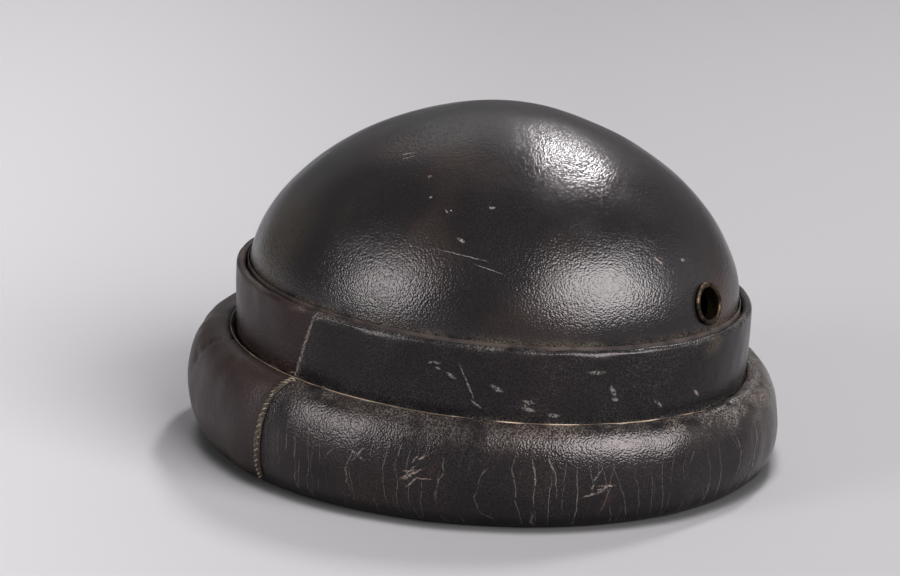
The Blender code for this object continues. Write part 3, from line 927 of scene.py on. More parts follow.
@dataclass(frozen=True)
class Band:
    """The lapped leather strip round the crown, the thin ply behind it and the cut edge below."""

    form: HelmetForm
    ply_wall: float = 2.0 * MM
    ply_above_rim: float = 0.6 * MM
    ply_flare: float = 0.2 * MM
    tuck: float = 1.4 * MM
    strip_wall: float = 2.8 * MM
    strip_flare: float = 0.8 * MM
    bulge: float = 0.3 * MM
    welt_wall: float = 1.4 * MM
    welt_above: float = 3.4 * MM
    welt_bend: float = 1.6 * MM
    welt_bend_lean: float = 0.4 * MM
    welt_edge_lean: float = 2.0 * MM
    welt_edge_wall: float = 0.9 * MM
    lap_deg: float = 101.0
    lap_length: float = 36.0 * MM
    taper_length: float = 18.0 * MM
    lap_slant_deg: float = 6.6
    under_end_deg: float = 83.0
    raised_over_end: float = 0.30 * MM
    wave: float = 0.20 * MM
    dent: float = 0.07 * MM
    worn_top: float = 0.30 * MM
    end_wander: float = 0.60 * MM
    # bearing where the cut edge keeps its full colour; away from it the edge gets painted shade
    bright_deg: float = 45.0
    sunk: float = 1.6 * MM
    stations: int = 600

    MARKS = (
        # bearing, height in millimetres, length, width, tilt, tone
        Mark(55.9, 60.9, 5.0, 1.8, 24, Tone.PALE),
        Mark(49.1, 56.0, 4.4, 1.4, 7, Tone.PALE),
        Mark(49.1, 52.6, 5.0, 1.6, 10, Tone.PALE),
        Mark(49.4, 54.2, 2.6, 2.6, 80, Tone.PALE),
        Mark(34.8, 69.6, 6.4, 1.4, 2, Tone.PALE),
        Mark(30.8, 61.0, 5.0, 1.6, 61, Tone.PALE),
        Mark(30.2, 57.2, 3.0, 1.5, 20, Tone.PALE),
        Mark(43.7, 50.4, 4.6, 1.6, 2, Tone.PALE),
        Mark(62.1, 62.4, 15.0, 0.7, 65, Tone.PALE),
        Mark(101.0, 62.0, 34.0, 1.3, -68, Tone.RAW),
        Mark(60.0, 53.2, 5.0, 0.9, 36, Tone.PALE),
        Mark(65.5, 64.4, 4.6, 1.2, 31, Tone.PALE),
        Mark(68.9, 67.8, 7.0, 3.0, -4, Tone.PALE),
        Mark(7.6, 55.0, 5.3, 1.2, 47, Tone.RAW),
        Mark(19.2, 53.6, 5.0, 1.3, 40, Tone.PALE),
        Mark(2.0, 74.5, 11.0, 6.0, -20, Tone.OLIVE),
        Mark(95.0, 46.0, 6.0, 2.0, 0, Tone.RAW),
        Mark(104.5, 47.0, 9.0, 2.6, 10, Tone.RAW),
        Mark(112.0, 46.0, 7.0, 1.6, 0, Tone.RAW),
        Mark(170.0, 60.0, 12.0, 1.0, 20, Tone.PALE),
        Mark(235.0, 55.0, 6.0, 2.0, -30, Tone.PALE),
        Mark(290.0, 65.0, 8.0, 1.4, 50, Tone.PALE),
    )

    def inner(self) -> float:
        """Offset of the strip's inner face."""
        return self.ply_wall + 2.0 * self.form.gap

    def outer(self) -> float:
        """Offset of the strip's outer face."""
        return self.inner() + self.strip_wall

    def flared(self, offset: np.ndarray, height: np.ndarray, flare: float) -> np.ndarray:
        """An offset that leans outwards between the groove and the rim."""
        return offset + flare * ease((height - self.form.groove) / (self.form.rim - self.form.groove))

    def strip(self) -> Object:
        """The strip, once round the helmet, its skived ends lapped on each other."""
        form = self.form
        start = math.radians(self.lap_deg)
        speed = math.hypot(form.half_width * math.cos(start), form.half_length * math.sin(start))
        lap, taper = self.lap_length / speed, self.taper_length / speed
        half_wall = 0.5 * (self.strip_wall - form.gap)
        bearing = np.linspace(start, start - math.tau - lap, self.stations)[:, None]
        from_start = ease((start - lap - bearing) / taper)
        to_finish = ease((bearing - (start - math.tau)) / taper)
        inner = self.inner() + (1.0 - from_start) * (half_wall + form.gap)
        outer = self.outer() - (1.0 - to_finish) * (half_wall + form.gap)
        at_deg = np.degrees(bearing)
        over_end = ease((at_deg - self.under_end_deg) / 1.2) * (at_deg < self.lap_deg + 1.0)
        from_lap = (start - bearing) * speed
        lap_edge = np.exp(-((from_lap / (2.0 * MM)) ** 2))
        outer = outer + self.raised_over_end * over_end

        edge = 0.5 * (outer - inner + self.tuck)
        shoulder = form.rim - edge
        rising = np.linspace(0.0, 1.0, 18)[None, :]
        face_height = form.groove + rising * (shoulder - form.groove)
        waves = undulation(bearing, 40.0 * face_height, 26, 3.0, 3)
        dents = undulation(bearing, 90.0 * face_height, 60, 3.0, 4)
        face = self.flared(outer, face_height, self.strip_flare) + self.bulge * np.sin(math.pi * rising)
        face = face + ease(8.0 * rising) * (self.wave * waves + self.dent * dents)
        face = face + lap_edge * (0.65 + 0.35 * undulation(0.0, 900.0 * face_height, 3, 1.0, 6)) * MM
        turn = np.linspace(0.0, math.pi, 13)[None, 1:]
        top_wear = self.worn_top * undulation(bearing, 0.0, 40, 1.0, 5) * np.sin(turn)
        top_offset = self.flared(outer - edge, form.rim, self.strip_flare) + edge * np.cos(turn)
        top_height = shoulder + edge * np.sin(turn) + top_wear
        back_height = shoulder + (form.groove - shoulder) * np.linspace(0.0, 1.0, 7)[None, 1:]
        tucked = self.tuck * ease((back_height - shoulder + 3.0 * MM) / (3.0 * MM))
        back = self.flared(inner, back_height, self.strip_flare) - tucked
        low_height = np.array([form.groove, 36.0 * MM, 24.0 * MM])[None, ::-1] + 0.0 * bearing
        foot = np.full_like(bearing, form.foot)
        offsets = np.hstack((inner, outer, outer + 0.0 * low_height, face, top_offset, back + 0.0 * bearing))
        heights = np.hstack((foot, foot, low_height, face_height, top_height, back_height + 0.0 * bearing))

        end_wander = self.end_wander / speed * undulation(0.0, 700.0 * heights, 3, 1.0, 8)
        slant = math.radians(self.lap_slant_deg) * (form.rim - heights) / (form.rim - form.groove)
        near_start = ease(1.0 - from_lap / (2.0 * self.taper_length))
        moved = bearing + near_start * (slant - math.radians(2.8) + end_wander)
        points = form.place(moved, offsets, heights)
        beyond = np.degrees(bearing + math.tau)
        far = ease((beyond - 60.0) / 40.0) * (beyond > 0.0) * (bearing < -1.0)
        far = far * ease((260.0 - beyond) / 90.0) + 0.0 * heights
        patchy = 0.35 + 0.35 * undulation(bearing, 0.0, 18, 1.0, 9)
        rub = ease((heights - (form.rim - 2.6 * MM)) / (2.0 * MM)) * patchy
        low = np.exp(-(((heights - form.groove) / (3.0 * MM)) ** 2)) * 0.55
        dust = np.maximum(np.maximum(rub, low), 0.75 * lap_edge) + 0.0 * heights
        return strip_piece("band_strip", points, {"far": far, "dust": dust})

    def ply(self) -> Object:
        """Thin ply behind the strip, its rough edge just proud of the strip's top."""
        form = self.form
        bearing = np.linspace(0.0, math.tau, 360, endpoint=False)[:, None]
        inner, outer = form.gap, form.gap + self.ply_wall
        top = form.rim + self.ply_above_rim + 0.04 * MM * undulation(bearing, 0.0, 50, 1.0, 21)
        rising = np.linspace(0.0, 1.0, 16)[None, :]
        height = form.groove + rising * (top - form.groove)
        thinned = self.tuck * ease((height - form.rim + 8.0 * MM) / (3.0 * MM))
        outside = self.flared(outer, height, self.ply_flare) - thinned
        inside = self.flared(inner, height, self.ply_flare)[:, ::-1]
        rounded = 0.25 * MM
        outside[:, -1:] -= rounded
        inside[:, :1] += rounded
        height_out, height_in = height.copy(), height[:, ::-1].copy()
        height_out[:, -2:-1] = top - rounded
        height_in[:, 1:2] = top - rounded
        foot = np.full_like(bearing, form.foot)
        offsets = np.hstack((inner + 0.0 * bearing, outer + 0.0 * bearing, outside, inside))
        heights = np.hstack((foot, foot, height_out, height_in))
        return ring_piece("band_inner_ply_edge", form.place(bearing, offsets, heights), {})

    def welt(self) -> Object:
        """Cut edge of the roll's cover, turned up between the strip and the roll, with painted shade away
        from its front.
        """
        form = self.form
        bearing = np.linspace(0.0, math.tau, 540, endpoint=False)[:, None]
        inner = self.outer() + form.gap
        outer = inner + self.welt_wall
        beyond = apart_deg(bearing, self.bright_deg)
        sunk = self.sunk * ease((-beyond - 30.0) / 25.0) * ease((150.0 + beyond) / 40.0)
        top = form.groove + self.welt_above - sunk + 0.06 * MM * undulation(bearing, 0.0, 90, 1.0, 31)
        bend = form.groove + self.welt_bend
        ones = np.ones_like(bearing)
        edge_in = inner + self.welt_edge_lean
        edge_out = edge_in + self.welt_edge_wall
        soft = 0.2 * MM
        offsets = (inner, outer, outer, outer + self.welt_bend_lean, edge_out - 0.5 * soft, edge_out,
                   edge_out - soft, edge_in + soft, edge_in, edge_in - 1.4 * soft, inner)
        heights = (form.foot, form.foot, form.groove, bend, top - 2.0 * soft, top - soft,
                   top, top, top - soft, top - 3.0 * soft, form.groove)
        offsets = np.hstack([offset * ones for offset in offsets])
        heights = np.hstack([height * ones for height in heights])
        # Painted shade: away from bright_deg the cut edge is darkened, so only its front keeps the bright
        # line of a lit fold.
        painted_shade = 1.0 - np.exp(-((beyond / 40.0) ** 2)) + 0.0 * offsets
        return ring_piece("roll_cover_cut_edge", form.place(bearing, offsets, heights), {"painted_shade": painted_shade})

    def spots(self) -> list[tuple[Matrix, Mark]]:
        """Marks with their frames on the strip's outer face."""
        offset = self.outer() + self.bulge
        return laid_out(self.MARKS, lambda bearing, height: self.form.place(bearing, offset, height), MM, MM)

    def make(self) -> None:
        """Builds and dresses the strip, the ply and the cut edge."""
        hand_over(self.strip(), BAND_LEATHER.build(self.spots()), Slot.BAND, "band")
        hand_over(self.ply(), PLY_EDGE.build(), Slot.PLY, "band_inner_ply")
        hand_over(self.welt(), CUT_EDGE.build(), Slot.EDGE, "edge_welt")


@dataclass(frozen=True)
class Hollow:
    """A soft hollow in the roll. Height and rise are shares of its height, depth of its depth."""

    bearing: float
    spread: float
    height: float
    rise: float
    depth: float


@dataclass(frozen=True)
class Roll:
    """The stuffed leather roll, its raised seam and the thread that whips it down."""

    form: HelmetForm
    inner: float = 7.4 * MM
    seat: float = 12.7 * MM
    crest_above_groove: float = 4.0 * MM
    depth_front: float = 21.6 * MM
    depth_side: float = 22.7 * MM
    depth_rear: float = 29.0 * MM
    roundness: float = 2.11
    shoulder: float = 3.6 * MM
    pressed: float = 0.4 * MM
    closed_deg: float = -18.0
    closed_in: float = 1.5 * MM
    seam_deg: float = 100.8
    seam_width: float = 3.3 * MM
    seam_wall: float = 1.2 * MM
    seam_slant_deg: float = 6.4
    seam_bow_deg: float = 0.8
    seam_foot_deg: float = -52.0
    stations: int = 660
    stitch_pitch: float = 2.3 * MM
    thread: float = 0.36 * MM
    lump: float = 0.45 * MM
    ripple: float = 0.16 * MM
    crease_depth: float = 1.2 * MM
    seam_pull: float = 0.45 * MM

    HOLLOWS = (
        # bearing, spread, height, rise, depth
        Hollow(-24.0, 7.0, 0.80, 0.30, 0.045),
        Hollow(8.0, 9.0, 0.55, 0.40, 0.020),
        Hollow(52.0, 12.0, 0.50, 0.45, 0.025),
        Hollow(104.0, 5.0, 0.50, 0.60, 0.050),
        Hollow(128.0, 8.0, 0.70, 0.35, 0.020),
        Hollow(152.0, 5.0, 0.65, 0.50, 0.050),
        Hollow(205.0, 12.0, 0.50, 0.45, 0.025),
        Hollow(262.0, 10.0, 0.60, 0.40, 0.030),
    )
    MARKS = (
        # bearing, turn on the round face, length, width, tilt, tone
        Mark(69.5, 11.6, 12.0, 3.8, -31, Tone.RAW),
        Mark(70.5, -3.9, 15.0, 4.0, -19, Tone.RAW),
        Mark(66.5, 6.0, 7.0, 2.6, -50, Tone.RUST),
        Mark(34.2, -8.2, 13.0, 3.6, -23, Tone.RAW),
        Mark(33.5, -20.6, 8.0, 3.0, -49, Tone.RUST),
        Mark(36.0, 2.0, 8.0, 2.0, -60, Tone.PALE),
        Mark(81.1, 9.5, 7.6, 0.9, 29, Tone.PALE),
        Mark(81.1, 10.3, 7.8, 0.9, -51, Tone.PALE),
        Mark(150.0, -25.0, 14.0, 8.0, 60, Tone.DARK),
        Mark(120.0, 10.0, 40.0, 14.0, 0, Tone.DARK),
        Mark(190.0, 20.0, 14.0, 1.8, 30, Tone.RAW),
        Mark(245.0, 0.0, 10.0, 1.8, -40, Tone.RAW),
        Mark(300.0, 10.0, 16.0, 3.0, 15, Tone.RUST),
        Mark(335.0, -10.0, 9.0, 1.8, 60, Tone.RAW),
    )

    def depth(self, bearing: np.ndarray) -> np.ndarray:
        """How far the roll stands out from the crown's wall."""
        ends = 0.5 * (self.depth_front + self.depth_rear)
        mean = 0.5 * (ends + self.depth_side)
        swing = 0.5 * (ends - self.depth_side)
        lopsided = 0.5 * (self.depth_front - self.depth_rear)
        return mean + lopsided * np.cos(bearing) + swing * np.cos(2.0 * bearing)

    def crest(self) -> float:
        """Height of the roll's top."""
        return self.form.groove + self.crest_above_groove

    def face(self, bearing: np.ndarray, turn: np.ndarray) -> tuple[np.ndarray, np.ndarray]:
        """Offset and height on the round face. The turn is a quarter at the crest."""
        outer = self.depth(bearing)
        half_depth = 0.5 * (outer + self.form.wall)
        half_height = 0.5 * (self.crest() + self.pressed)
        out = signed_power(np.cos(turn), 2.0 / self.roundness)
        rise = signed_power(np.sin(turn), 2.0 / self.roundness)
        height = np.maximum(0.0, half_height * (1.0 + rise) - self.pressed)
        pressed = 0.0
        for hollow in self.HOLLOWS:
            apart = apart_deg(bearing, hollow.bearing) / hollow.spread
            across = (height / self.crest() - hollow.height) / hollow.rise
            pressed = pressed + hollow.depth * np.exp(-(apart**2) - across**2)
        offset = outer - half_depth + half_depth * out - pressed * np.maximum(0.0, out) * outer
        return offset, height

    def shoulder_turn(self, bearing: np.ndarray) -> np.ndarray:
        """The turn where the shoulder starts to fall to the groove."""
        outer = self.depth(bearing)
        half_depth = 0.5 * (outer + self.form.wall)
        out = (self.inner + self.shoulder - (outer - half_depth)) / half_depth
        return np.arccos(signed_power(out, self.roundness / 2.0))

    def skin(self) -> tuple[np.ndarray, np.ndarray, np.ndarray, np.ndarray]:
        """Points of the whole roll, with the bearing, offset and height of each."""
        form = self.form
        bearing = np.linspace(0.0, math.tau, self.stations, endpoint=False)[:, None]
        start = self.shoulder_turn(bearing)
        half_height = 0.5 * (self.crest() + self.pressed)
        lip_rise = (0.6 * self.seat + self.pressed) / half_height - 1.0
        end = -math.pi + math.asin(abs(lip_rise) ** (self.roundness / 2.0))
        shoulder_offset, shoulder_height = self.face(bearing, start)
        share = np.linspace(0.0, 1.0, 13)[None, :-1]
        share = share * share
        closed = np.exp(-((apart_deg(bearing, self.closed_deg) / 26.0) ** 2))
        lip = self.inner - self.closed_in * closed
        fall_offset = lip + share * (shoulder_offset - lip)
        drop = (shoulder_height - form.groove) * (1.0 - 0.65 * closed)
        fall_height = shoulder_height - drop * (1.0 - np.sqrt(1.0 - (1.0 - share) ** 2))
        run = np.linspace(0.0, 1.0, 86)[None, :]
        face_offset, face_height = self.face(bearing, start + (end - start) * run)
        ones = np.ones_like(bearing)
        back_offsets = (-form.wall, 0.0, 0.5 * self.inner, self.inner, self.inner)
        back_heights = (self.seat,) * 4 + (0.5 * (self.seat + form.groove),)
        back_offset = np.hstack([value * ones for value in back_offsets])
        back_height = np.hstack([value * ones for value in back_heights])
        offset = np.hstack((fall_offset, face_offset, back_offset))
        height = np.hstack((fall_height, face_height, back_height))
        return form.place(bearing, offset, height), bearing + 0.0 * offset, offset, height

    def relief(self, bearing: np.ndarray, offset: np.ndarray, height: np.ndarray) -> np.ndarray:
        """How far the stuffed cover rises above or sinks below its smooth form."""
        shown = ease((offset - self.inner) / (1.2 * MM)) * ease(height / (4.0 * MM))
        lumps = self.lump * undulation(bearing, 70.0 * height, 22, 1.0, 41)
        small = self.ripple * undulation(bearing, 150.0 * height, 70, 1.5, 42)
        from_groove = offset - self.inner
        top = ease((height - 0.55 * self.crest()) / (0.25 * self.crest()))
        near = np.exp(-((from_groove / (7.0 * MM)) ** 2)) * top
        gathers = np.sin(120.0 * bearing + 1.6 * np.sin(17.0 * bearing) + 0.9 * np.sin(41.0 * bearing))
        strong = np.exp(-((apart_deg(bearing, -22.0) / 24.0) ** 2))
        pleats = (0.05 + 0.16 * strong) * MM * near * (np.abs(gathers) - 0.5) * 2.0
        crease_at = 130.5 + 12.0 * np.clip((self.crest() - height) / self.crest(), 0.0, 1.0) ** 0.5
        around = apart_deg(bearing, 0.0)
        crease = np.exp(-((around - crease_at) / 0.9) ** 2) * ease((height - 24.0 * MM) / (14.0 * MM))
        crease = crease - 0.35 * np.exp(-((around - crease_at) / 3.5) ** 2)
        pull = np.exp(-((np.abs(around - self.seam_line(height)) - 2.6) / 1.1) ** 2)
        return shown * (lumps + small + pleats - self.crease_depth * crease - self.seam_pull * pull)

    def seam_line(self, height: np.ndarray) -> np.ndarray:
        """Bearing of the seam at a height on the outer side, in degrees."""
        middle = 0.5 * (self.crest() - self.pressed)
        half_height = 0.5 * (self.crest() + self.pressed)
        turn = np.degrees(np.arcsin(np.clip((height - middle) / half_height, -1.0, 1.0)))
        share = np.clip((75.0 - turn) / (75.0 - self.seam_foot_deg), 0.0, 1.0)
        return self.seam_deg + self.seam_slant_deg * share + self.seam_bow_deg * np.sin(math.pi * share)

    def cover(self) -> Object:
        """The stuffed cover all round, with its lumps, gathers and creases."""
        points, bearing, offset, height = self.skin()
        normal = grid_normals(points)
        points = points + normal * self.relief(bearing, offset, height)[..., None]
        points[..., 2] = np.maximum(points[..., 2], 0.0)
        beyond = apart_deg(bearing, 0.0) % 360.0
        past_seam = ease((beyond - self.seam_line(height)) / 1.2)
        far = past_seam * ease((250.0 - beyond) / 70.0)
        on_top = ease((height - 0.70 * self.crest()) / (0.28 * self.crest()))
        in_groove = np.exp(-(((offset - self.inner) / (3.0 * MM)) ** 2)) * on_top
        right = np.exp(-((apart_deg(bearing, -15.0) / 45.0) ** 2))
        patchy = 0.5 + 0.5 * undulation(bearing, 0.0, 14, 1.0, 51)
        dust = on_top * (0.30 + 0.45 * right + 0.25 * patchy) * (1.0 - 0.75 * far)
        dust = dust + (0.2 + 0.8 * right) * in_groove
        layers = {"far": far, "dust": dust, "around": (bearing % math.tau) / math.tau + 0.0 * height}
        low = ease((0.86 * self.crest() - height) / (0.30 * self.crest())) * ease(height / (5.0 * MM))
        layers["crazed"] = low * (1.0 - far) * (0.45 + 0.55 * patchy)
        near = np.exp(-(((offset - self.inner) / (6.0 * MM)) ** 2)) * on_top
        layers["gather"] = near * (0.15 + 0.85 * np.exp(-((apart_deg(bearing, -14.0) / 26.0) ** 2)))
        return ring_piece("roll_cover", points, layers)

    def seam_surface(self, share: np.ndarray, side: np.ndarray, lift: np.ndarray) -> np.ndarray:
        """World points on the seam.

        Args:
            share: From 0 at the groove to 1 at the foot.
            side: Distance across the seam from its middle line.
            lift: Height above the roll's smooth face.

        Returns:
            The points.
        """
        bearing = math.radians(self.seam_deg)
        top = self.shoulder_turn(np.array(bearing)) - math.radians(6.0)
        turn = top + (math.radians(self.seam_foot_deg) - top) * share
        bow = math.radians(self.seam_bow_deg) * np.sin(math.pi * share)
        middle = bearing + math.radians(self.seam_slant_deg) * share + bow
        around = middle + side / self.form.half_length
        offset, height = self.face(around, turn)
        before, after = self.face(around, turn - 0.02), self.face(around, turn + 0.02)
        run_offset, run_height = after[0] - before[0], after[1] - before[1]
        length = np.hypot(run_offset, run_height)
        raised, risen = offset + lift * run_height / length, height - lift * run_offset / length
        return self.form.place(around, raised, risen)

    def seam_ridge(self) -> Object:
        """The raised lap of the cover, highest along its middle."""
        share = np.linspace(0.0, 1.0, 150)[:, None]
        across = np.linspace(-1.0, 1.0, 15)[None, :]
        wander = 0.25 * MM * undulation(0.0, 40.0 * share, 3, 1.0, 61)
        half = 0.5 * self.seam_width * (0.86 + 0.10 * undulation(0.0, 30.0 * share, 3, 1.0, 62))
        bead = np.sqrt(np.maximum(0.0, 1.0 - np.abs(across) ** 2.6))
        length = self.seam_length()
        pinch = 1.0 - 0.22 * np.cos(math.tau * share * length / self.stitch_pitch) ** 4
        ends = np.sqrt(np.clip(np.minimum(share, 1.0 - share) / 0.03, 0.0, 1.0))
        lift = (self.form.gap + self.seam_wall * bead * pinch * ends) + 0.0 * share
        over = self.seam_surface(share + 0.0 * across, across * half + wander, lift)
        back_again = across[:, ::-1] * half + wander
        under = self.seam_surface(share + 0.0 * across, back_again, 0.02 * MM + 0.0 * lift)
        points = np.concatenate((over, under[:, 1:-1]), axis=1)
        dust = np.concatenate((0.25 + 0.35 * (bead + 0.0 * share), 0.2 + 0.0 * under[:, 1:-1, 0]), axis=1)
        return strip_piece("roll_seam_ridge", points, {"dust": dust, "far": np.zeros_like(dust)})

    def seam_length(self) -> float:
        """Length of the seam's middle line."""
        share = np.linspace(0.0, 1.0, 200)
        line = self.seam_surface(share, 0.0 * share, 0.0 * share)
        return float(np.linalg.norm(np.diff(line, axis=0), axis=1).sum())

    def stitches(self) -> Object:
        """Whipped stitches of waxed thread over the ridge, joined as one mesh."""
        count = int(self.seam_length() / self.stitch_pitch)
        draw = np.random.default_rng(71)
        sewn = []
        ball = {"segments": 8, "ring_count": 10, "radius": 1.0}
        for index in range(count):
            stitch = primitive(bpy.ops.mesh.primitive_uv_sphere_add, "stitch", **ball)
            start = read_points(stitch)
            along = start[:, 2]
            middle = (index + 0.5) / count
            lean = 0.42 * self.stitch_pitch / self.seam_length()
            width = 0.40 * self.seam_width * draw.uniform(0.9, 1.05)
            arch = np.sqrt(np.maximum(0.0, 1.0 - np.abs(along) ** 2.6))
            share = middle + lean * along + self.thread * start[:, 0] / self.seam_length()
            lift = self.form.gap + self.seam_wall * arch * 0.95 + self.thread * (0.2 + start[:, 1])
            write_points(stitch, self.seam_surface(np.clip(share, 0.0, 1.0), width * along, lift))
            sewn.append(stitch)
        only(sewn[0])
        for stitch in sewn:
            stitch.select_set(True)
        bpy.ops.object.join()
        thread = bpy.context.object
        thread.name = "roll_seam_stitches"
        sew_up(thread)
        return thread

    def spots(self) -> list[tuple[Matrix, Mark]]:
        """Marks with their frames on the round face."""
        def point_at(bearing: float, turn: float) -> np.ndarray:
            """World point on the round face."""
            return self.form.place(bearing, *self.face(bearing, turn))

        return laid_out(self.MARKS, point_at, math.radians(1.0), NEAR)

    def make(self) -> None:
        """Builds and dresses the cover, the seam and its thread."""
        cover = self.cover()
        hand_over(cover, ROLL_LEATHER.build(self.spots()), Slot.ROLL, "roll")
        hand_over(self.seam_ridge(), SEAM_LEATHER.build([]), Slot.SEAM, "roll_seam")
        hand_over(self.stitches(), SEAM_THREAD.build(), Slot.SEAM)


CROWN_LEATHER = Leather(
    name="waxed_cowhide_blocked_crown",
    dye="#0a090b",
    undertone="#1e1512",
    far_dye="#0a090b",
    dust="#60574c",
    roughness=0.18,
    far_roughness=0.18,
    grain_mm=0.88,
    grain_lift=0.13,
    wrinkle_mm=0.9,
    wrinkle_lift=0.03,
    drawn_out=(1.0, 1.0, 0.16),
    undertone_share=0.48,
    speckle_share=0.04,
    valley_share=0.02,
    dust_from=0.30,
    dust_to=0.72,
    specular=0.26,
    sheen_tint="#fff7f8",
)
BAND_LEATHER = Leather(
    name="waxed_cowhide_strap",
    dye="#080709",
    undertone="#110d0e",
    far_dye="#130807",
    dust="#746f6a",
    roughness=0.20,
    far_roughness=0.34,
    grain_mm=0.85,
    grain_lift=0.08,
    wrinkle_mm=1.6,
    wrinkle_lift=0.04,
    drawn_out=(1.0, 1.0, 0.5),
    undertone_share=0.30,
    speckle_share=0.07,
    valley_share=0.02,
    specular=0.15,
)
ROLL_LEATHER = Leather(
    name="stuffed_cowhide_crazed",
    dye="#09080a",
    undertone="#18110f",
    far_dye="#140a09",
    dust="#6e655e",
    roughness=0.18,
    far_roughness=0.36,
    grain_mm=0.9,
    grain_lift=0.14,
    wrinkle_mm=1.2,
    wrinkle_lift=0.06,
    drawn_out=(1.0, 1.0, 0.25),
    undertone_share=0.45,
    speckle_share=0.07,
    valley_share=0.02,
    specular=0.21,
    craze_share=0.38,
    gathered=True,
)
# The same hide, rubbed brown and dusty where it stands up over its own lap.
SEAM_LEATHER = replace(
    ROLL_LEATHER,
    name="sewn_lap_rubbed_cowhide",
    dye="#1d1815",
    dust="#6a6155",
    craze_share=0.0,
    gathered=False,
)
# Split leather, dry and matt, which reads as a thin dark brown line.
PLY_EDGE = PlainFinish("ply_edge_dry_split_leather", "#261e1b", "#171110", 5.0, 0.75)
# Raw tanned fibres of a knife cut, light tan where clean and dark where soiled in blots, and darkened away
# from the front by painted shade.
CUT_EDGE = PlainFinish("cut_edge_raw_tanned_leather", "#8b7a6b", "#382e25", 7.0, 0.60)
# Twisted linen drawn through wax, dull and dirty in its twist.
SEAM_THREAD = PlainFinish("waxed_linen_thread", "#6a614f", "#312b23", 1.2, 0.70)
# Pressed brass gone brown, with a soft gleam left on its rolled edge.
EYELET_BRASS = PlainFinish(
    "pressed_brass_tarnished", "#382d23", "#15110e", 1.6, 0.46, metallic=1.0, specular=0.5
)


@dataclass(frozen=True)
class Softbox:
    """A studio softbox, placed by its compass angle round the helmet and its height angle."""

    name: str
    azimuth: float
    elevation: float
    distance: float
    width: float
    height: float
    watts: float
    colour: str = "#ffffff"


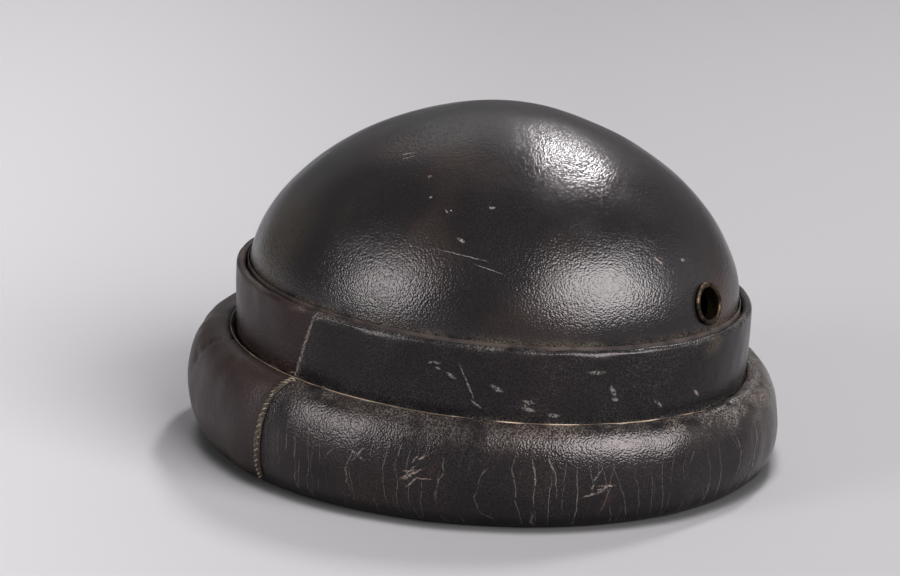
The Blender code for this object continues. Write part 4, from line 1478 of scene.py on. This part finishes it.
@dataclass(frozen=True)
class Studio:
    """The pale table, the lights and the camera of the picture."""

    form: HelmetForm
    azimuth: float = -53.0
    elevation: float = 16.1
    distance: float = 1.344
    look_height: float = 57.6 * MM
    lens: float = 118.16
    shift: tuple[float, float] = (-0.0412, 0.0351)
    table_size: float = 24.0
    table_colour: str = "#706e70"
    # lighter table colour towards the left: a painted pool of light
    table_painted_light_colour: str = "#8b898c"
    room_colour: str = "#9b9a9c"
    room_strength: float = 0.80
    # reach and colour of the painted contact shade round the helmet's foot
    painted_contact_shade_reach: float = 10.0 * MM
    painted_contact_shade_colour: str = "#141313"

    BOXES = (
        Softbox("back_key", 98.0, 56.0, 2.3, 0.25, 0.31, 52.0),
        Softbox("front_window", -13.0, 31.0, 4.5, 3.8, 2.6, 755.0),
        Softbox("back_scrim", 122.0, 47.0, 3.5, 3.2, 1.6, 18.0),
        Softbox("right_card", 42.0, 18.0, 3.0, 2.4, 1.4, 9.0),
        Softbox("side_strip", -117.0, 20.0, 2.2, 0.75, 1.3, 50.0),
    )

    def aim(self) -> Vector:
        """The point that the camera and the lights look at."""
        return Vector((*self.form.centre, self.look_height))

    @staticmethod
    def direction(azimuth: float, elevation: float) -> Vector:
        """Unit vector from the helmet towards a compass angle and a height angle in degrees."""
        turn, rise = math.radians(azimuth), math.radians(elevation)
        return Vector((math.sin(turn) * math.cos(rise), -math.cos(turn) * math.cos(rise), math.sin(rise)))

    def camera(self) -> None:
        """Sets up the camera at the picture's angle."""
        back = self.direction(self.azimuth, self.elevation)
        bpy.ops.object.camera_add(location=self.aim() + self.distance * back)
        camera = bpy.context.object
        camera.rotation_euler = back.to_track_quat("Z", "Y").to_euler()
        camera.data.sensor_width = 36.0
        camera.data.lens = self.lens
        camera.data.shift_x, camera.data.shift_y = self.shift
        camera.data.dof.use_dof = False
        bpy.context.scene.camera = camera

    def lights(self) -> None:
        """Hangs the softboxes and dims the room."""
        for box in self.BOXES:
            way = self.direction(box.azimuth, box.elevation)
            spot = self.aim() + box.distance * way
            lamp = primitive(bpy.ops.object.light_add, box.name, type="AREA", location=spot)
            lamp.rotation_euler = way.to_track_quat("Z", "Y").to_euler()
            lamp.data.shape = "RECTANGLE"
            lamp.data.size, lamp.data.size_y = box.width, box.height
            lamp.data.energy = box.watts
            lamp.data.color = linear(box.colour)[:3]
        room = bpy.data.worlds.new("room")
        room.use_nodes = True
        backdrop = room.node_tree.nodes["Background"]
        backdrop.inputs["Color"].default_value = linear(self.room_colour)
        backdrop.inputs["Strength"].default_value = self.room_strength
        bpy.context.scene.world = room

    def table(self) -> None:
        """Lays the pale table, which runs on as its own backdrop, lighter towards the left as a painted pool
        of light and darkened round the helmet's foot as painted contact shade.
        """
        table = primitive(bpy.ops.mesh.primitive_plane_add, "pale_table", size=self.table_size)
        made, tree, place = new_finish("matt_card")
        shader = tree.nodes["Principled BSDF"]
        # The card is painted lighter towards the left of the picture: a painted pool of light.
        aside = Vector((math.cos(math.radians(self.azimuth)), math.sin(math.radians(self.azimuth)), 0.0))
        along = add_node(tree, "VectorMath", {0: place, 1: aside}, "Value", operation="DOT_PRODUCT")
        spread = {"Value": along, "From Min": 0.10, "From Max": -0.45}
        along = add_node(tree, "MapRange", spread, interpolation_type="SMOOTHSTEP")
        ends = {0: along, 6: linear(self.table_colour), 7: linear(self.table_painted_light_colour)}
        card = add_node(tree, "Mix", ends, data_type="RGBA")
        # Ambient occlusion darkens the card next to the helmet: painted contact shade.
        painted_contact_shade = add_node(tree, "AmbientOcclusion", {"Distance": self.painted_contact_shade_reach}, "AO", samples=8)
        spread = {"Value": painted_contact_shade, "From Min": 0.82, "From Max": 0.40}
        painted_contact_shade = add_node(tree, "MapRange", spread, interpolation_type="SMOOTHSTEP")
        card = veil(tree, card, painted_contact_shade, 0.9, self.painted_contact_shade_colour)
        tree.links.new(card, shader.inputs["Base Color"])
        shader.inputs["Roughness"].default_value = 0.85
        dress(table, made)

    def make(self) -> None:
        """Builds the table, the lights and the camera."""
        self.table()
        self.lights()
        self.camera()
        bpy.context.scene.view_settings.view_transform = "Standard"


def main() -> None:
    """Builds and dresses the helmet from the crown down, then sets the studio round it."""
    logging.basicConfig(level=logging.INFO, format="%(message)s")
    form = HelmetForm().on_frame()
    Crown(form).make()
    Band(form).make()
    Roll(form).make()
    Studio(form).make()


if __name__ == "__main__":
    main()
